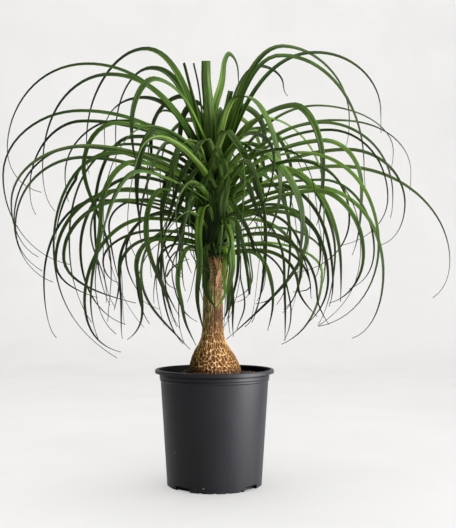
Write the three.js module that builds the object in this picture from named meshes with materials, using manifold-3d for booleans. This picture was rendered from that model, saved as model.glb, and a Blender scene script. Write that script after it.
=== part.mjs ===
// Potted ponytail palm: a black nursery pot, its soil, the swollen trunk and a fountain of arching leaves.
// Millimetres, +Z up. The origin is the middle of the pot's base, and the plant's front faces -Y.
import * as THREE from 'three';
import { mergeVertices } from 'three/addons/utils/BufferGeometryUtils.js';
import Module from 'manifold-3d';

const wasm = await Module();
wasm.setup();

// Driving dimensions of the pot
const RIM_RADIUS = 117.5;
const RIM_HEIGHT = 224.7;
const LIP_DROP = 7;
const LIP_OVERHANG = 7.7;
const COLLAR_RADIUS = RIM_RADIUS - LIP_OVERHANG;
const COLLAR_BOTTOM = 215.5;
const COLLAR_STEP = 1.2;
const STEP_BOTTOM = 208.5;
const GROOVE = 1.2;
const BEAD_HEIGHT = 205;
const BEAD_PROUD = 1.6;
const WALL_TOP_RADIUS = 106.5;
const BASE_RADIUS = 93;
const WALL = 1.8;
const EDGE = 1.5;
const FLOOR = 2;
const FLOOR_RISE = 4;
const CENTRE_FOOT_RADIUS = 30;
const STANDING_RING_INNER = 80;
const DRAIN_SLOT = { count: 4, firstDegrees: 229, width: 36, height: 9, depth: 10 };
const DRAIN_NOTCH = { degreesFromSlot: [24, 41, 57, 74], width: 7, height: 4, depth: 6 };

// Driving dimensions of the soil and of the gap that keeps touching pieces apart. What lies within BY of an
// edge or of the axis counts as on it
const SOIL_HEIGHT = 212;
const SOIL_MOUND = { height: 4, radius: 90 };
const SOIL_LUMP = { height: 1.3, settles: 6, across: 6.1, along: 5.3, bend: 9, drift: 17 };
const SOIL_RINGS = [101, 93, 84, 75, 66, 59];
const GAP = 0.3;
const HOLE_GAP = 0.8;
const HOLE_LIP = 3;
const BY = 1;

// Driving dimensions of the trunk: its radius at each height, from the buried root plate to the leaves
const TRUNK_RADII = [
  [190, 24], [195, 38], [203, 49], [213, 53.5], [222, 52.5], [231, 50.5], [245, 45.6], [256, 40.2], [264, 35.6],
  [273, 29.7], [282, 25.5], [293, 22.7], [306, 21.3], [344, 20.4], [383, 19.6], [415, 18.3], [440, 17.3],
];
const TRUNK_LEAN = { x: -3.5, from: 225, to: 275 };
const BURIED = { below: 214, clearAbove: 222 };
const NECK = { from: 260, to: 330 };
const BARK = { hollows: 12, hollowHeight: 17, bulbDepth: 1.9, neckDepth: 0.9 };
const NET_WAVES = { wander: 0.9, swirl: 2.1, twist: 3, ripple: 5, lean: 1.6 };
const NET_RIDGE = { from: 0.05, wide: 0.65, tall: 0.5, saddle: 0.55 };

// Driving dimensions of the bunch of leaf bases at the trunk's head: [rise, radius]
const CROWN_BASE = 440 + GAP;
const CROWN_RADII = [[0, 18.5], [10, 23], [35, 31], [80, 34], [135, 30], [185, 22], [224, 9]];
const ROOT_DEPTH = 7;

// Driving dimensions of a leaf: the height of its keel, and its width from a broad base to a thread
const LEAF_KEEL = 1.5;
const THREAD_KEEL = 0.9;
const THREAD_WIDTH = 1.8;
const LONG_LEAF = { from: 380, to: 800 };
const TAPER = { short: [2.6, 0.9], long: [1.35, 1.6] };
const CUT_TAPER = 0.3;

// The curves between a leaf's points: how far out it turns up from its root, how full its bow is and how it
// hangs from its shoulder
const TURN_UP = 0.38;
const BOW = 0.5523;
const HANG = { straight: 0.5, back: 0.4, down: 0.84 };
const NEAREST_ROOT = 2;

// Leaves read from the plant: azimuth in degrees from +X, height of the root, then [reach, height] of the
// arch's highest point, of its widest point, of any bends below it and of its tip, and the width. A sway
// holds sideways offsets that the leaf passes by. Some leaves show their flat face to the front, and some
// at the two sides are turned a part of the way towards it
const FACING = [4, 14];
const OPEN_LEFT = [-48, -14];
const OPEN_RIGHT = [48, 14];
const ARCHES = [
  { azimuth: 168, root: 625, apex: [150, 876], shoulder: [270, 670], tip: [265, 620], width: 17,
    roll: OPEN_LEFT },
  { azimuth: 180, root: 620, apex: [255, 835], shoulder: [415, 665], tip: [345, 575], width: 12 },
  { azimuth: 184, root: 610, apex: [265, 735], shoulder: [415, 605], tip: [285, 430], width: 14,
    roll: OPEN_LEFT },
  { azimuth: 174, root: 615, apex: [220, 820], shoulder: [355, 635], tip: [325, 540], width: 17,
    roll: OPEN_LEFT },
  { azimuth: 187, root: 544, apex: [270, 660], shoulder: [390, 515], tip: [315, 395], width: 9 },
  { azimuth: 194, root: 539, apex: [255, 635], shoulder: [385, 500], tip: [335, 415], width: 9 },
  { azimuth: 150, root: 630, apex: [165, 850], shoulder: [245, 705], tip: [245, 640], width: 16,
    roll: OPEN_LEFT },
  { azimuth: 218, root: 635, apex: [140, 780], shoulder: [195, 680], tip: [180, 610], width: 15,
    roll: OPEN_LEFT },
  { azimuth: 145, root: 615, apex: [210, 795], shoulder: [295, 725], tip: [295, 665], width: 12,
    roll: OPEN_LEFT },
  { azimuth: 200, root: 592, apex: [195, 700], shoulder: [262, 612], tip: [215, 320], width: 14,
    bends: [[262, 545], [190, 475], [212, 405]], roll: OPEN_LEFT },
  { azimuth: 196, root: 544, apex: [200, 645], shoulder: [315, 465], tip: [195, 250], width: 11,
    roll: OPEN_LEFT },
  { azimuth: 190, root: 500, apex: [175, 575], shoulder: [310, 435], tip: [230, 365], width: 12,
    roll: OPEN_LEFT },
  { azimuth: 205, root: 490, apex: [175, 550], shoulder: [305, 440], tip: [165, 355], width: 10 },
  { azimuth: 178, root: 500, apex: [240, 560], shoulder: [340, 400], tip: [315, 285], width: 9 },
  { azimuth: 172, root: 625, apex: [275, 725], shoulder: [385, 600], tip: [370, 535], width: 8 },
  { azimuth: 166, root: 625, apex: [215, 730], shoulder: [320, 615], tip: [315, 565], width: 8 },
  { azimuth: 212, root: 560, apex: [175, 620], shoulder: [245, 505], tip: [250, 290], width: 12,
    bends: [[250, 450], [285, 370]], roll: OPEN_LEFT },
  { azimuth: 198, root: 535, apex: [175, 575], shoulder: [247, 490], tip: [217, 355], width: 8,
    bends: [[247, 440], [212, 415]] },
  { azimuth: 192, root: 500, apex: [130, 520], shoulder: [255, 357], tip: [185, 260], width: 10,
    bends: [[252, 277]], roll: OPEN_LEFT },
  { azimuth: 184, root: 482, apex: [112, 498], shoulder: [220, 437], tip: [190, 395], width: 7 },
  { azimuth: 205, root: 470, apex: [118, 480], shoulder: [198, 415], tip: [208, 342], width: 8,
    bends: [[198, 378]] },
  { azimuth: 225, root: 545, apex: [135, 568], shoulder: [177, 495], tip: [100, 310], width: 11,
    bends: [[177, 450], [147, 377]] },
  { azimuth: 212, root: 462, apex: [126, 476], shoulder: [172, 422], tip: [192, 287], width: 10,
    bends: [[172, 377], [130, 320]] },
  { azimuth: 200, root: 468, apex: [96, 494], shoulder: [149, 410], tip: [51, 264], width: 10,
    bends: [[149, 359], [117, 328]] },
  { azimuth: 222, root: 450, apex: [64, 462], shoulder: [93, 395], tip: [50, 272], width: 10,
    bends: [[93, 357], [68, 320]] },
  { azimuth: 198, root: 456, apex: [75, 470], shoulder: [115, 428], tip: [72, 328], width: 6,
    bends: [[115, 397]] },
  { azimuth: 190, root: 448, apex: [63, 460], shoulder: [98, 405], tip: [76, 382], width: 6 },
  { azimuth: 170, root: 505, apex: [152, 564], shoulder: [219, 508], tip: [195, 395], width: 7,
    bends: [[218, 464]] },
  { azimuth: 158, root: 480, apex: [124, 536], shoulder: [197, 466], tip: [164, 369], width: 7,
    bends: [[197, 414]] },
  { azimuth: 188, root: 585, apex: [170, 650], shoulder: [273, 595], tip: [311, 478], width: 11,
    bends: [[306, 545]], roll: OPEN_LEFT },
  { azimuth: 215, root: 615, apex: [133, 685], shoulder: [174, 604], tip: [172, 500], width: 15,
    roll: OPEN_LEFT },
  { azimuth: 165, root: 500, apex: [112, 536], shoulder: [203, 410], tip: [194, 282], width: 10 },
  { azimuth: 8, root: 630, apex: [140, 876], shoulder: [280, 740], tip: [270, 670], width: 15,
    roll: OPEN_RIGHT },
  { azimuth: 355, root: 625, apex: [195, 855], shoulder: [330, 735], tip: [330, 690], width: 13,
    roll: OPEN_RIGHT },
  { azimuth: 350, root: 620, apex: [130, 845], shoulder: [295, 625], tip: [300, 560], width: 16,
    roll: OPEN_RIGHT },
  { azimuth: 20, root: 640, apex: [103, 842], shoulder: [152, 808], tip: [161, 784], width: 10 },
  { azimuth: 330, root: 615, apex: [170, 730], shoulder: [230, 620], tip: [220, 500], width: 17,
    roll: OPEN_RIGHT },
  { azimuth: 10, root: 592, apex: [225, 760], shoulder: [380, 675], tip: [365, 620], width: 10 },
  { azimuth: 20, root: 587, apex: [305, 745], shoulder: [460, 645], tip: [455, 600], width: 8 },
  { azimuth: 352, root: 582, apex: [215, 710], shoulder: [350, 565], tip: [345, 520], width: 10,
    roll: OPEN_RIGHT },
  { azimuth: 345, root: 582, apex: [225, 690], shoulder: [340, 555], tip: [250, 465], width: 10 },
  { azimuth: 358, root: 549, apex: [265, 660], shoulder: [380, 555], tip: [330, 470], width: 9 },
  { azimuth: 2, root: 534, apex: [250, 630], shoulder: [476, 445], tip: [440, 365], width: 11 },
  { azimuth: 335, root: 524, apex: [200, 575], shoulder: [340, 410], tip: [280, 290], width: 11,
    roll: OPEN_RIGHT },
  { azimuth: 322, root: 510, apex: [230, 560], shoulder: [330, 440], tip: [260, 355], width: 12,
    roll: OPEN_RIGHT },
  { azimuth: 340, root: 572, apex: [220, 665], shoulder: [295, 570], tip: [275, 445], width: 13,
    roll: OPEN_RIGHT },
  { azimuth: 325, root: 585, apex: [140, 612], shoulder: [278, 412], tip: [276, 357], width: 11,
    roll: OPEN_RIGHT },
  { azimuth: 335, root: 545, apex: [128, 583], shoulder: [244, 400], tip: [236, 348], width: 10 },
  { azimuth: 345, root: 520, apex: [132, 541], shoulder: [226, 401], tip: [185, 315], width: 9,
    bends: [[226, 351]] },
  { azimuth: 350, root: 560, apex: [212, 596], shoulder: [313, 459], tip: [265, 382], width: 7,
    bends: [[312, 401]] },
  { azimuth: 335, root: 530, apex: [118, 545], shoulder: [192, 479], tip: [25, 283], width: 9,
    bends: [[188, 415], [101, 340]] },
  { azimuth: 350, root: 508, apex: [120, 535], shoulder: [210, 460], tip: [200, 405], width: 9 },
  { azimuth: 8, root: 490, apex: [122, 507], shoulder: [227, 439], tip: [219, 389], width: 7 },
  { azimuth: 356, root: 472, apex: [90, 491], shoulder: [203, 371], tip: [226, 312], width: 8,
    bends: [[203, 347]] },
  { azimuth: 352, root: 462, apex: [94, 470], shoulder: [190, 382], tip: [191, 363], width: 7 },
  { azimuth: 340, root: 452, apex: [88, 458], shoulder: [171, 386], tip: [208, 329], width: 8,
    bends: [[171, 363]] },
  { azimuth: 330, root: 452, apex: [83, 456], shoulder: [164, 340], tip: [153, 284], width: 9,
    bends: [[163, 303]] },
  { azimuth: 318, root: 450, apex: [88, 452], shoulder: [148, 351], tip: [132, 303], width: 8,
    bends: [[148, 329]] },
  { azimuth: 305, root: 450, apex: [76, 450], shoulder: [94, 381], tip: [75, 304], width: 8,
    bends: [[93, 348]] },
  { azimuth: 296, root: 448, apex: [58, 448], shoulder: [80, 353], tip: [80, 291], width: 10 },
  { azimuth: 330, root: 500, apex: [70, 530], shoulder: [152, 410], tip: [155, 284], width: 10 },
  { azimuth: 315, root: 640, apex: [62, 757], shoulder: [168, 598], tip: [126, 466], width: 17,
    bends: [[170, 519]], roll: FACING },
  { azimuth: 308, root: 560, apex: [108, 643], shoulder: [246, 476], tip: [245, 429], width: 22,
    roll: FACING },
  { azimuth: 262, root: 492, apex: [50, 672], shoulder: [86, 560], tip: [88, 470], width: 17,
    sway: [10, 10, -110, -84], roll: FACING },
  { azimuth: 264, root: 520, apex: [50, 655], shoulder: [70, 600], tip: [62, 515], width: 11,
    sway: [-24, -60, 120, -40], roll: FACING },
  { azimuth: 232, root: 560, apex: [62, 668], shoulder: [128, 600], tip: [138, 520], width: 12,
    roll: FACING },
  { azimuth: 228, root: 560, apex: [66, 650], shoulder: [118, 622], tip: [140, 594], width: 8,
    roll: FACING },
  { azimuth: 252, root: 500, apex: [62, 540], shoulder: [96, 480], tip: [66, 300], width: 17,
    roll: FACING },
  { azimuth: 292, root: 470, apex: [52, 508], shoulder: [83, 445], tip: [42, 320], width: 14,
    roll: FACING },
  { azimuth: 258, root: 456, apex: [44, 472], shoulder: [72, 434], tip: [62, 392], width: 11,
    roll: FACING },
  { azimuth: 243, root: 450, apex: [34, 462], shoulder: [46, 420], tip: [42, 345], width: 14,
    sway: [0, 0, 22], roll: FACING },
  { azimuth: 290, root: 453, apex: [38, 466], shoulder: [52, 420], tip: [42, 345], width: 12,
    sway: [0, 14, -12], roll: FACING },
  { azimuth: 268, root: 470, apex: [48, 560], shoulder: [70, 500], tip: [60, 440], width: 14,
    sway: [0, 10, 60, 85], roll: FACING },
  { azimuth: 272, root: 482, apex: [48, 572], shoulder: [72, 515], tip: [66, 440], width: 14,
    sway: [0, -10, -60, -95], roll: FACING },
  { azimuth: 258, root: 530, apex: [45, 622], shoulder: [80, 560], tip: [80, 480], width: 15,
    sway: [10, 10, -50, -85], roll: FACING },
  { azimuth: 281, root: 540, apex: [46, 628], shoulder: [80, 570], tip: [84, 490], width: 15,
    sway: [-10, 0, 60, 95], roll: FACING },
  { azimuth: 262, root: 588, apex: [42, 672], shoulder: [92, 600], tip: [98, 510], width: 15,
    sway: [8, 10, -60, -75], roll: FACING },
  { azimuth: 279, root: 596, apex: [44, 690], shoulder: [90, 612], tip: [98, 520], width: 16,
    sway: [-8, -10, 70, 85], roll: FACING },
  { azimuth: 285, root: 600, apex: [40, 642], shoulder: [64, 590], tip: [50, 468], width: 21,
    roll: FACING },
  { azimuth: 254, root: 588, apex: [38, 628], shoulder: [60, 570], tip: [52, 452], width: 18,
    roll: FACING },
  { azimuth: 272, root: 548, apex: [36, 578], shoulder: [54, 530], tip: [48, 438], width: 17,
    roll: FACING },
  { azimuth: 238, root: 522, apex: [40, 550], shoulder: [64, 500], tip: [60, 412], width: 13,
    roll: FACING },
  { azimuth: 302, root: 515, apex: [40, 545], shoulder: [62, 498], tip: [56, 424], width: 13,
    roll: FACING },
  { azimuth: 100, root: 647, apex: [42, 770], shoulder: [95, 700], tip: [100, 600], width: 16 },
  { azimuth: 132, root: 643, apex: [55, 765], shoulder: [112, 690], tip: [122, 590], width: 15 },
  { azimuth: 75, root: 641, apex: [60, 755], shoulder: [120, 670], tip: [125, 570], width: 15 },
  { azimuth: 152, root: 637, apex: [80, 778], shoulder: [152, 690], tip: [162, 610], width: 15 },
  { azimuth: 38, root: 643, apex: [70, 760], shoulder: [138, 690], tip: [150, 600], width: 14 },
  { azimuth: 60, root: 650, apex: [68, 874], shoulder: [100, 845], tip: [102, 812], width: 17,
    sway: [22, 14, 0, 0] },
];

// Upright young leaves with cut ends, in the crown's middle: where each starts, leans and ends, and its rolls
const SPEARS = [
  { azimuth: 195, root: 630, lean: [10, 730], tip: [18, 840], width: 26, roll: [80, 10] },
  { azimuth: 172, root: 630, lean: [24, 740], tip: [44, 838], width: 12, roll: [20, 5] },
  { azimuth: 186, root: 628, lean: [34, 735], tip: [63, 835], width: 11, roll: [28, 4] },
  { azimuth: 350, root: 648, lean: [14, 710], tip: [33, 779], width: 16, roll: [70, 10] },
  { azimuth: 12, root: 642, lean: [42, 700], tip: [70, 811], width: 10, roll: [40, 10] },
];

// Leaves by rule: low ones hang close to the trunk, middle ones arch wide and high ones stand at the back.
// Each range is drawn from: the apex by its reach and its rise over the root, the shoulder by how far it lies
// past the apex and below it, or below a low leaf's root, and the tip by how far it curls back and drops
const RULE_SEED = 11;
const RULE_LEAVES = 40;
const GOLDEN_ANGLE = 137.508;
const LOWEST_ROOT = CROWN_BASE + 8;
const HIGHEST_ROOT = CROWN_BASE + 200;
const LOW_SHARE = 0.42;
const HIGH_SHARE = 0.84;
const LOW = {
  width: [6, 9], reach: [62, 130], rise: [12, 60], past: [45, 140], below: [25, 100], curl: [15, 100],
};
const MIDDLE = {
  width: [7.5, 12], reach: [115, 205], rise: [25, 105], past: [75, 150], below: [110, 180], curl: [20, 115],
};
const HIGH = {
  width: [10, 14], reach: [90, 200], rise: [60, 150], past: [70, 130], below: [100, 180], curl: [0, 50],
};
const DROP = { low: 135, middle: [90, 210], high: [60, 170] };
const LEAST_CURL = 0.35;
const FRONT_RISE = 0.5625;
const ROLL = { root: [14, 40], along: [20, 80] };

// Those leaves turn from the two sides, which the listed ones fill, and reach further to front and back
const SIDE_TURN = 11.5;
const AZIMUTH_JITTER = 16;
const DEPTH_REACH = 0.45;
const SWAY = 100;

// Leaves over the plant's front part to each side of the trunk, and end above it
const FRONT = 270;
const FRONT_PARTING = 16;
const FRONT_SPREAD = 42;
const FRONT_LIFT = 120;
const MIDDLE_LIFT = 0.4;
const LOWEST_TIP = 256;
const MIDDLE_TIPS = 60;

// The steps along each part of a leaf, and the lathe's sides: pot and soil share theirs, for an even gap
const ARCH_STEPS = [3, 3, 2];
const SHORT_STEPS = [2, 3, 2];
const SHORT_BELOW = 530;
const BEND_STEPS = 1;
const SPEAR_STEPS = 3;
const POT_SIDES = 36;
const TRUNK_SIDES = 40;
const BULB_ROW = 7;
const NECK_ROW = 12;
const CROWN_SIDES = 12;

// Vertices nearer than this are one. Triangles left by two crossing leaves are joined where that moves the
// surface less than a sliver
const WELD = 1e-4;
const SLIVER = 0.02;

const degrees = (value) => (value * Math.PI) / 180;
const mix = (a, b, share) => a + (b - a) * share;
const within = ([least, most], share) => mix(least, most, share);
const smooth = (low, high, value) => THREE.MathUtils.smoothstep(value, low, high);

// A repeatable draw between 0 and 1
function makeDraw(seed) {
  let state = seed;
  return () => {
    state = (Math.imul(state, 1664525) + 1013904223) >>> 0;
    return state / 4294967296;
  };
}

// Joins the vertices that share a place and drops the triangles that this folds flat
function weld(geometry) {
  const bare = geometry.clone();
  bare.deleteAttribute('normal');
  bare.deleteAttribute('uv');
  const merged = mergeVertices(bare, WELD);
  const corners = merged.index.array;
  const kept = [];
  for (let i = 0; i < corners.length; i += 3) {
    const [a, b, c] = [corners[i], corners[i + 1], corners[i + 2]];
    if (a !== b && b !== c && c !== a) kept.push(a, b, c);
  }
  merged.setIndex(kept);
  return merged;
}

// Turns a profile of [radius, height] pairs round the Z axis into a closed body
function lathe(profile, sides) {
  const points = profile.map(([radius, height]) => new THREE.Vector2(radius, height));
  const geometry = new THREE.LatheGeometry(points, sides);
  geometry.rotateX(Math.PI / 2);
  return weld(geometry);
}

// Moves each vertex of a geometry by a function of its place
function reshape(geometry, move) {
  const position = geometry.attributes.position;
  const point = new THREE.Vector3();
  for (let i = 0; i < position.count; i += 1) {
    move(point.fromBufferAttribute(position, i));
    position.setXYZ(i, point.x, point.y, point.z);
  }
  return geometry;
}

function toSolid(geometry) {
  return new wasm.Manifold(new wasm.Mesh({
    numProp: 3,
    vertProperties: new Float32Array(geometry.attributes.position.array),
    triVerts: new Uint32Array(geometry.index.array),
  }));
}

function toGeometry(solid) {
  const mesh = solid.getMesh();
  const geometry = new THREE.BufferGeometry();
  geometry.setAttribute('position', new THREE.BufferAttribute(mesh.vertProperties, 3));
  geometry.setIndex(new THREE.BufferAttribute(mesh.triVerts, 1));
  return geometry;
}

// A hollow closed in between fused leaves is a shell of its own with a negative volume: it is filled
function withoutHollows(solid) {
  return wasm.Manifold.union(solid.decompose().filter((shell) => shell.volume() > 0));
}

function toMesh(name, geometry, material) {
  geometry.computeVertexNormals();
  const skin = new THREE.MeshStandardMaterial({ ...material, flatShading: true });
  const mesh = new THREE.Mesh(geometry, skin);
  mesh.name = name;
  return mesh;
}

// The outer radius of the pot's tapered wall at a height
const wallRadius = (height) => mix(BASE_RADIUS, WALL_TOP_RADIUS, height / BEAD_HEIGHT);
const LOWER_COLLAR = COLLAR_RADIUS - COLLAR_STEP;

// The pot is one moulded skin: a floor with a centre foot and a standing ring, a tapered wall with a bead,
// a stepped collar and a lip that turns out and down
function potProfile() {
  const lipBottom = RIM_HEIGHT - LIP_DROP;
  const ledge = RIM_HEIGHT - 2 * WALL;
  const bead = wallRadius(BEAD_HEIGHT) + BEAD_PROUD;
  return [
    [0, 0],
    [CENTRE_FOOT_RADIUS, 0],
    [CENTRE_FOOT_RADIUS + FLOOR, FLOOR_RISE],
    [STANDING_RING_INNER - FLOOR, FLOOR_RISE],
    [STANDING_RING_INNER, 0],
    [BASE_RADIUS - EDGE, 0],
    [BASE_RADIUS, EDGE],
    [wallRadius(BEAD_HEIGHT), BEAD_HEIGHT - 2 * EDGE],
    [bead, BEAD_HEIGHT - EDGE],
    [bead, BEAD_HEIGHT + EDGE / 2],
    [LOWER_COLLAR - GROOVE, STEP_BOTTOM - EDGE],
    [LOWER_COLLAR, STEP_BOTTOM],
    [LOWER_COLLAR, COLLAR_BOTTOM - EDGE],
    [COLLAR_RADIUS, COLLAR_BOTTOM],
    [COLLAR_RADIUS, ledge],
    [RIM_RADIUS - WALL, ledge],
    [RIM_RADIUS - WALL, lipBottom],
    [RIM_RADIUS, lipBottom],
    [RIM_RADIUS, RIM_HEIGHT - EDGE],
    [RIM_RADIUS - EDGE, RIM_HEIGHT],
    [COLLAR_RADIUS + EDGE, RIM_HEIGHT],
    [COLLAR_RADIUS - WALL, RIM_HEIGHT - EDGE - BY],
    [LOWER_COLLAR - WALL, STEP_BOTTOM],
    [wallRadius(BEAD_HEIGHT) - WALL, BEAD_HEIGHT],
    [wallRadius(0) - WALL, FLOOR + EDGE],
    [BASE_RADIUS - WALL - EDGE, FLOOR],
    [STANDING_RING_INNER + FLOOR, FLOOR],
    [STANDING_RING_INNER, FLOOR + FLOOR_RISE],
    [CENTRE_FOOT_RADIUS, FLOOR + FLOOR_RISE],
    [CENTRE_FOOT_RADIUS - FLOOR, FLOOR],
    [0, FLOOR],
  ];
}

// A block that cuts one drain opening out of the foot of the wall, from below the ground up
function drainCutter({ width, height, depth }, angle) {
  const block = new THREE.BoxGeometry(2 * depth, width, 2 * height);
  block.translate(BASE_RADIUS, 0, 0);
  block.rotateZ(degrees(angle));
  return toSolid(weld(block));
}

function makePot() {
  const cutters = [];
  for (let i = 0; i < DRAIN_SLOT.count; i += 1) {
    const angle = DRAIN_SLOT.firstDegrees + (360 / DRAIN_SLOT.count) * i;
    cutters.push(drainCutter(DRAIN_SLOT, angle));
    for (const offset of DRAIN_NOTCH.degreesFromSlot) {
      cutters.push(drainCutter(DRAIN_NOTCH, angle + offset));
    }
  }
  const shell = toSolid(lathe(potProfile(), POT_SIDES));
  return toGeometry(shell.subtract(wasm.Manifold.union(cutters)));
}

// The value at a height, between driving pairs of height and value
function between(pairs, height) {
  const found = pairs.findIndex(([level]) => level >= height);
  const above = Math.max(1, found < 0 ? pairs.length - 1 : found);
  const [low, a] = pairs[above - 1];
  const [high, b] = pairs[above];
  return mix(a, b, (height - low) / (high - low));
}

// The bark's net: staggered upright hollows between ridges, from 0 in a hollow to 1 on a ridge
function barkNet(angle, height) {
  const { wander, swirl, twist, ripple, lean } = NET_WAVES;
  const { from, wide, tall, saddle } = NET_RIDGE;
  const row = height / BARK.hollowHeight;
  const turns = (BARK.hollows * angle) / 2;
  const shift = wander * Math.sin(swirl * row + 2 * Math.sin(twist * angle));
  const upright = Math.abs(Math.sin(turns + shift + 0.5 * Math.sin(ripple * angle + row)));
  const across = Math.abs(Math.sin(Math.PI * row + lean * Math.sin(turns)));
  return 1 - smooth(from, wide, upright) * mix(saddle, 1, smooth(from, tall, across));
}

function makeTrunk() {
  const rows = [];
  const [bottom] = TRUNK_RADII[0];
  const [top] = TRUNK_RADII[TRUNK_RADII.length - 1];
  for (let height = bottom; height < top; height += height < NECK.from ? BULB_ROW : NECK_ROW) {
    rows.push(height);
  }
  rows.push(top);
  const profile = [[0, bottom], ...rows.map((height) => [between(TRUNK_RADII, height), height]), [0, top]];
  return reshape(lathe(profile, TRUNK_SIDES), (point) => {
    const radius = Math.hypot(point.x, point.y);
    if (radius > BY) {
      const angle = Math.atan2(point.y, point.x);
      const clear = smooth(BURIED.below, BURIED.clearAbove, point.z);
      const depth = clear * mix(BARK.bulbDepth, BARK.neckDepth, smooth(NECK.from, NECK.to, point.z));
      const share = (radius + depth * (barkNet(angle, point.z) - 1)) / radius;
      point.x *= share;
      point.y *= share;
    }
    point.x += TRUNK_LEAN.x * smooth(TRUNK_LEAN.from, TRUNK_LEAN.to, point.z);
  });
}

// The soil fills the pot up to a lumpy top, with a plain hole that the buried part of the trunk stands in
function makeSoil() {
  const buried = TRUNK_RADII.filter(([height]) => height < SOIL_HEIGHT);
  const hole = buried.map(([height, radius]) => [radius + HOLE_GAP, height - GAP]);
  const mouth = Math.max(...TRUNK_RADII.map(([, radius]) => radius)) + HOLE_GAP;
  const rim = LOWER_COLLAR - WALL - GAP;
  const outside = [
    [0, FLOOR + GAP],
    [CENTRE_FOOT_RADIUS - FLOOR - GAP, FLOOR + GAP],
    [CENTRE_FOOT_RADIUS - GAP, FLOOR + FLOOR_RISE + GAP],
    [STANDING_RING_INNER + GAP, FLOOR + FLOOR_RISE + GAP],
    [STANDING_RING_INNER + FLOOR + GAP, FLOOR + GAP],
    [BASE_RADIUS - WALL - FLOOR, FLOOR + GAP],
    [wallRadius(0) - WALL - GAP, 2 * FLOOR],
    [wallRadius(BEAD_HEIGHT) - WALL - GAP, BEAD_HEIGHT + GAP],
    [rim, STEP_BOTTOM + BY],
    [rim, SOIL_HEIGHT],
  ];
  const top = SOIL_RINGS.map((radius) => [radius, SOIL_HEIGHT]);
  const lip = [[mouth, SOIL_HEIGHT], [mouth, SOIL_HEIGHT - HOLE_LIP]];
  const profile = [...outside, ...top, ...lip, ...hole.reverse(), [0, TRUNK_RADII[0][0] - GAP]];
  return reshape(lathe(profile, POT_SIDES), (point) => {
    const radius = Math.hypot(point.x, point.y);
    if (point.z < SOIL_HEIGHT - WELD || radius > rim - BY) return;
    const mound = SOIL_MOUND.height * (1 - smooth(mouth, SOIL_MOUND.radius, radius));
    const across = Math.sin(point.x / SOIL_LUMP.across + 2 * Math.sin(point.y / SOIL_LUMP.bend));
    const along = Math.sin(point.y / SOIL_LUMP.along + point.x / SOIL_LUMP.drift);
    const settled = smooth(mouth, mouth + SOIL_LUMP.settles, radius);
    point.z += mound + SOIL_LUMP.height * across * along * settled;
  });
}

// How far a leaf rolls about its own length, in degrees: at its root, and from there to its tip
function rollDraw(draw) {
  const side = draw() < 0.5 ? -1 : 1;
  return [side * within(ROLL.root, draw()), side * within(ROLL.along, draw())];
}

function ruleLeaf(order, draw) {
  const level = (order + 0.5) / RULE_LEAVES;
  const root = mix(LOWEST_ROOT, HIGHEST_ROOT, level);
  const around = GOLDEN_ANGLE * order + AZIMUTH_JITTER * (draw() - 0.5);
  let azimuth = (around + SIDE_TURN * Math.sin(2 * degrees(around)) + 360) % 360;
  if (level >= HIGH_SHARE && azimuth > 180) azimuth = 360 - azimuth;
  const aside = azimuth - FRONT;
  if (Math.abs(aside) < FRONT_PARTING) azimuth = FRONT + Math.sign(aside) * FRONT_PARTING;
  const facing = Math.sin(degrees(azimuth));
  const lift = FRONT_LIFT * Math.max(0, 1 - Math.abs(aside) / FRONT_SPREAD);
  const [out, up, over, down, curl, broad] = [draw(), draw(), draw(), draw(), draw(), draw()];
  const sway = [0, 0, SWAY * (draw() - 0.5)];
  const roll = rollDraw(draw);
  const kind = level < LOW_SHARE ? LOW : level < HIGH_SHARE ? MIDDLE : HIGH;
  const wide = kind === LOW ? 1 : 1 + DEPTH_REACH * Math.abs(facing);
  const rise = kind === MIDDLE ? mix(1, FRONT_RISE, Math.max(0, -facing)) * up : up;
  const apex = [within(kind.reach, out) * wide, root + kind.rise[0] + (kind.rise[1] - kind.rise[0]) * rise];
  const from = kind === LOW ? root : apex[1];
  const shoulder = [apex[0] + within(kind.past, over) * wide, from - within(kind.below, down)];
  const tip = [shoulder[0] - within(kind.curl, curl), shoulder[1] - within(DROP.high, down)];
  if (kind === LOW) {
    tip[0] = shoulder[0] - within(kind.curl, curl) * mix(LEAST_CURL, 1, over);
    tip[1] = LOWEST_TIP + lift + DROP.low * down;
  } else if (kind === MIDDLE) {
    const drop = within(DROP.middle, down) - MIDDLE_LIFT * lift;
    tip[1] = Math.max(LOWEST_TIP + MIDDLE_TIPS * down, shoulder[1] - drop);
  }
  return { azimuth, root, width: within(kind.width, broad), apex, shoulder, tip, sway, roll };
}

// A point, given as a list of its coordinates, on a Bezier curve of any order
function bezier(points, share) {
  if (points.length === 1) return points[0];
  const nearer = points.slice(1).map((point, i) => {
    return point.map((value, axis) => mix(points[i][axis], value, share));
  });
  return bezier(nearer, share);
}

// The leaf's path in its own upright plane: up to the apex, over to the shoulder and down to the tip
function leafPath({ root, lean, apex, shoulder, bends, tip }) {
  const inner = between(CROWN_RADII, root - CROWN_BASE) - ROOT_DEPTH;
  const start = [Math.max(NEAREST_ROOT, inner), root];
  if (lean) return samples([start, lean, tip], SPEAR_STEPS, 0);
  const [rise, over, hang] = root < SHORT_BELOW ? SHORT_STEPS : ARCH_STEPS;
  const hanging = bends ?? [
    [shoulder[0], mix(shoulder[1], tip[1], HANG.straight)],
    [mix(shoulder[0], tip[0], HANG.back), mix(shoulder[1], tip[1], HANG.down)],
  ];
  const bow = [
    [mix(apex[0], shoulder[0], BOW), apex[1]],
    [shoulder[0], mix(shoulder[1], apex[1], BOW)],
  ];
  return [
    ...samples([start, [mix(start[0], apex[0], TURN_UP), apex[1]], apex], rise, 0),
    ...samples([apex, ...bow, shoulder], over, 1),
    ...samples([shoulder, ...hanging, tip], hang + (bends ? BEND_STEPS : 0), 1),
  ];
}

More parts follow.
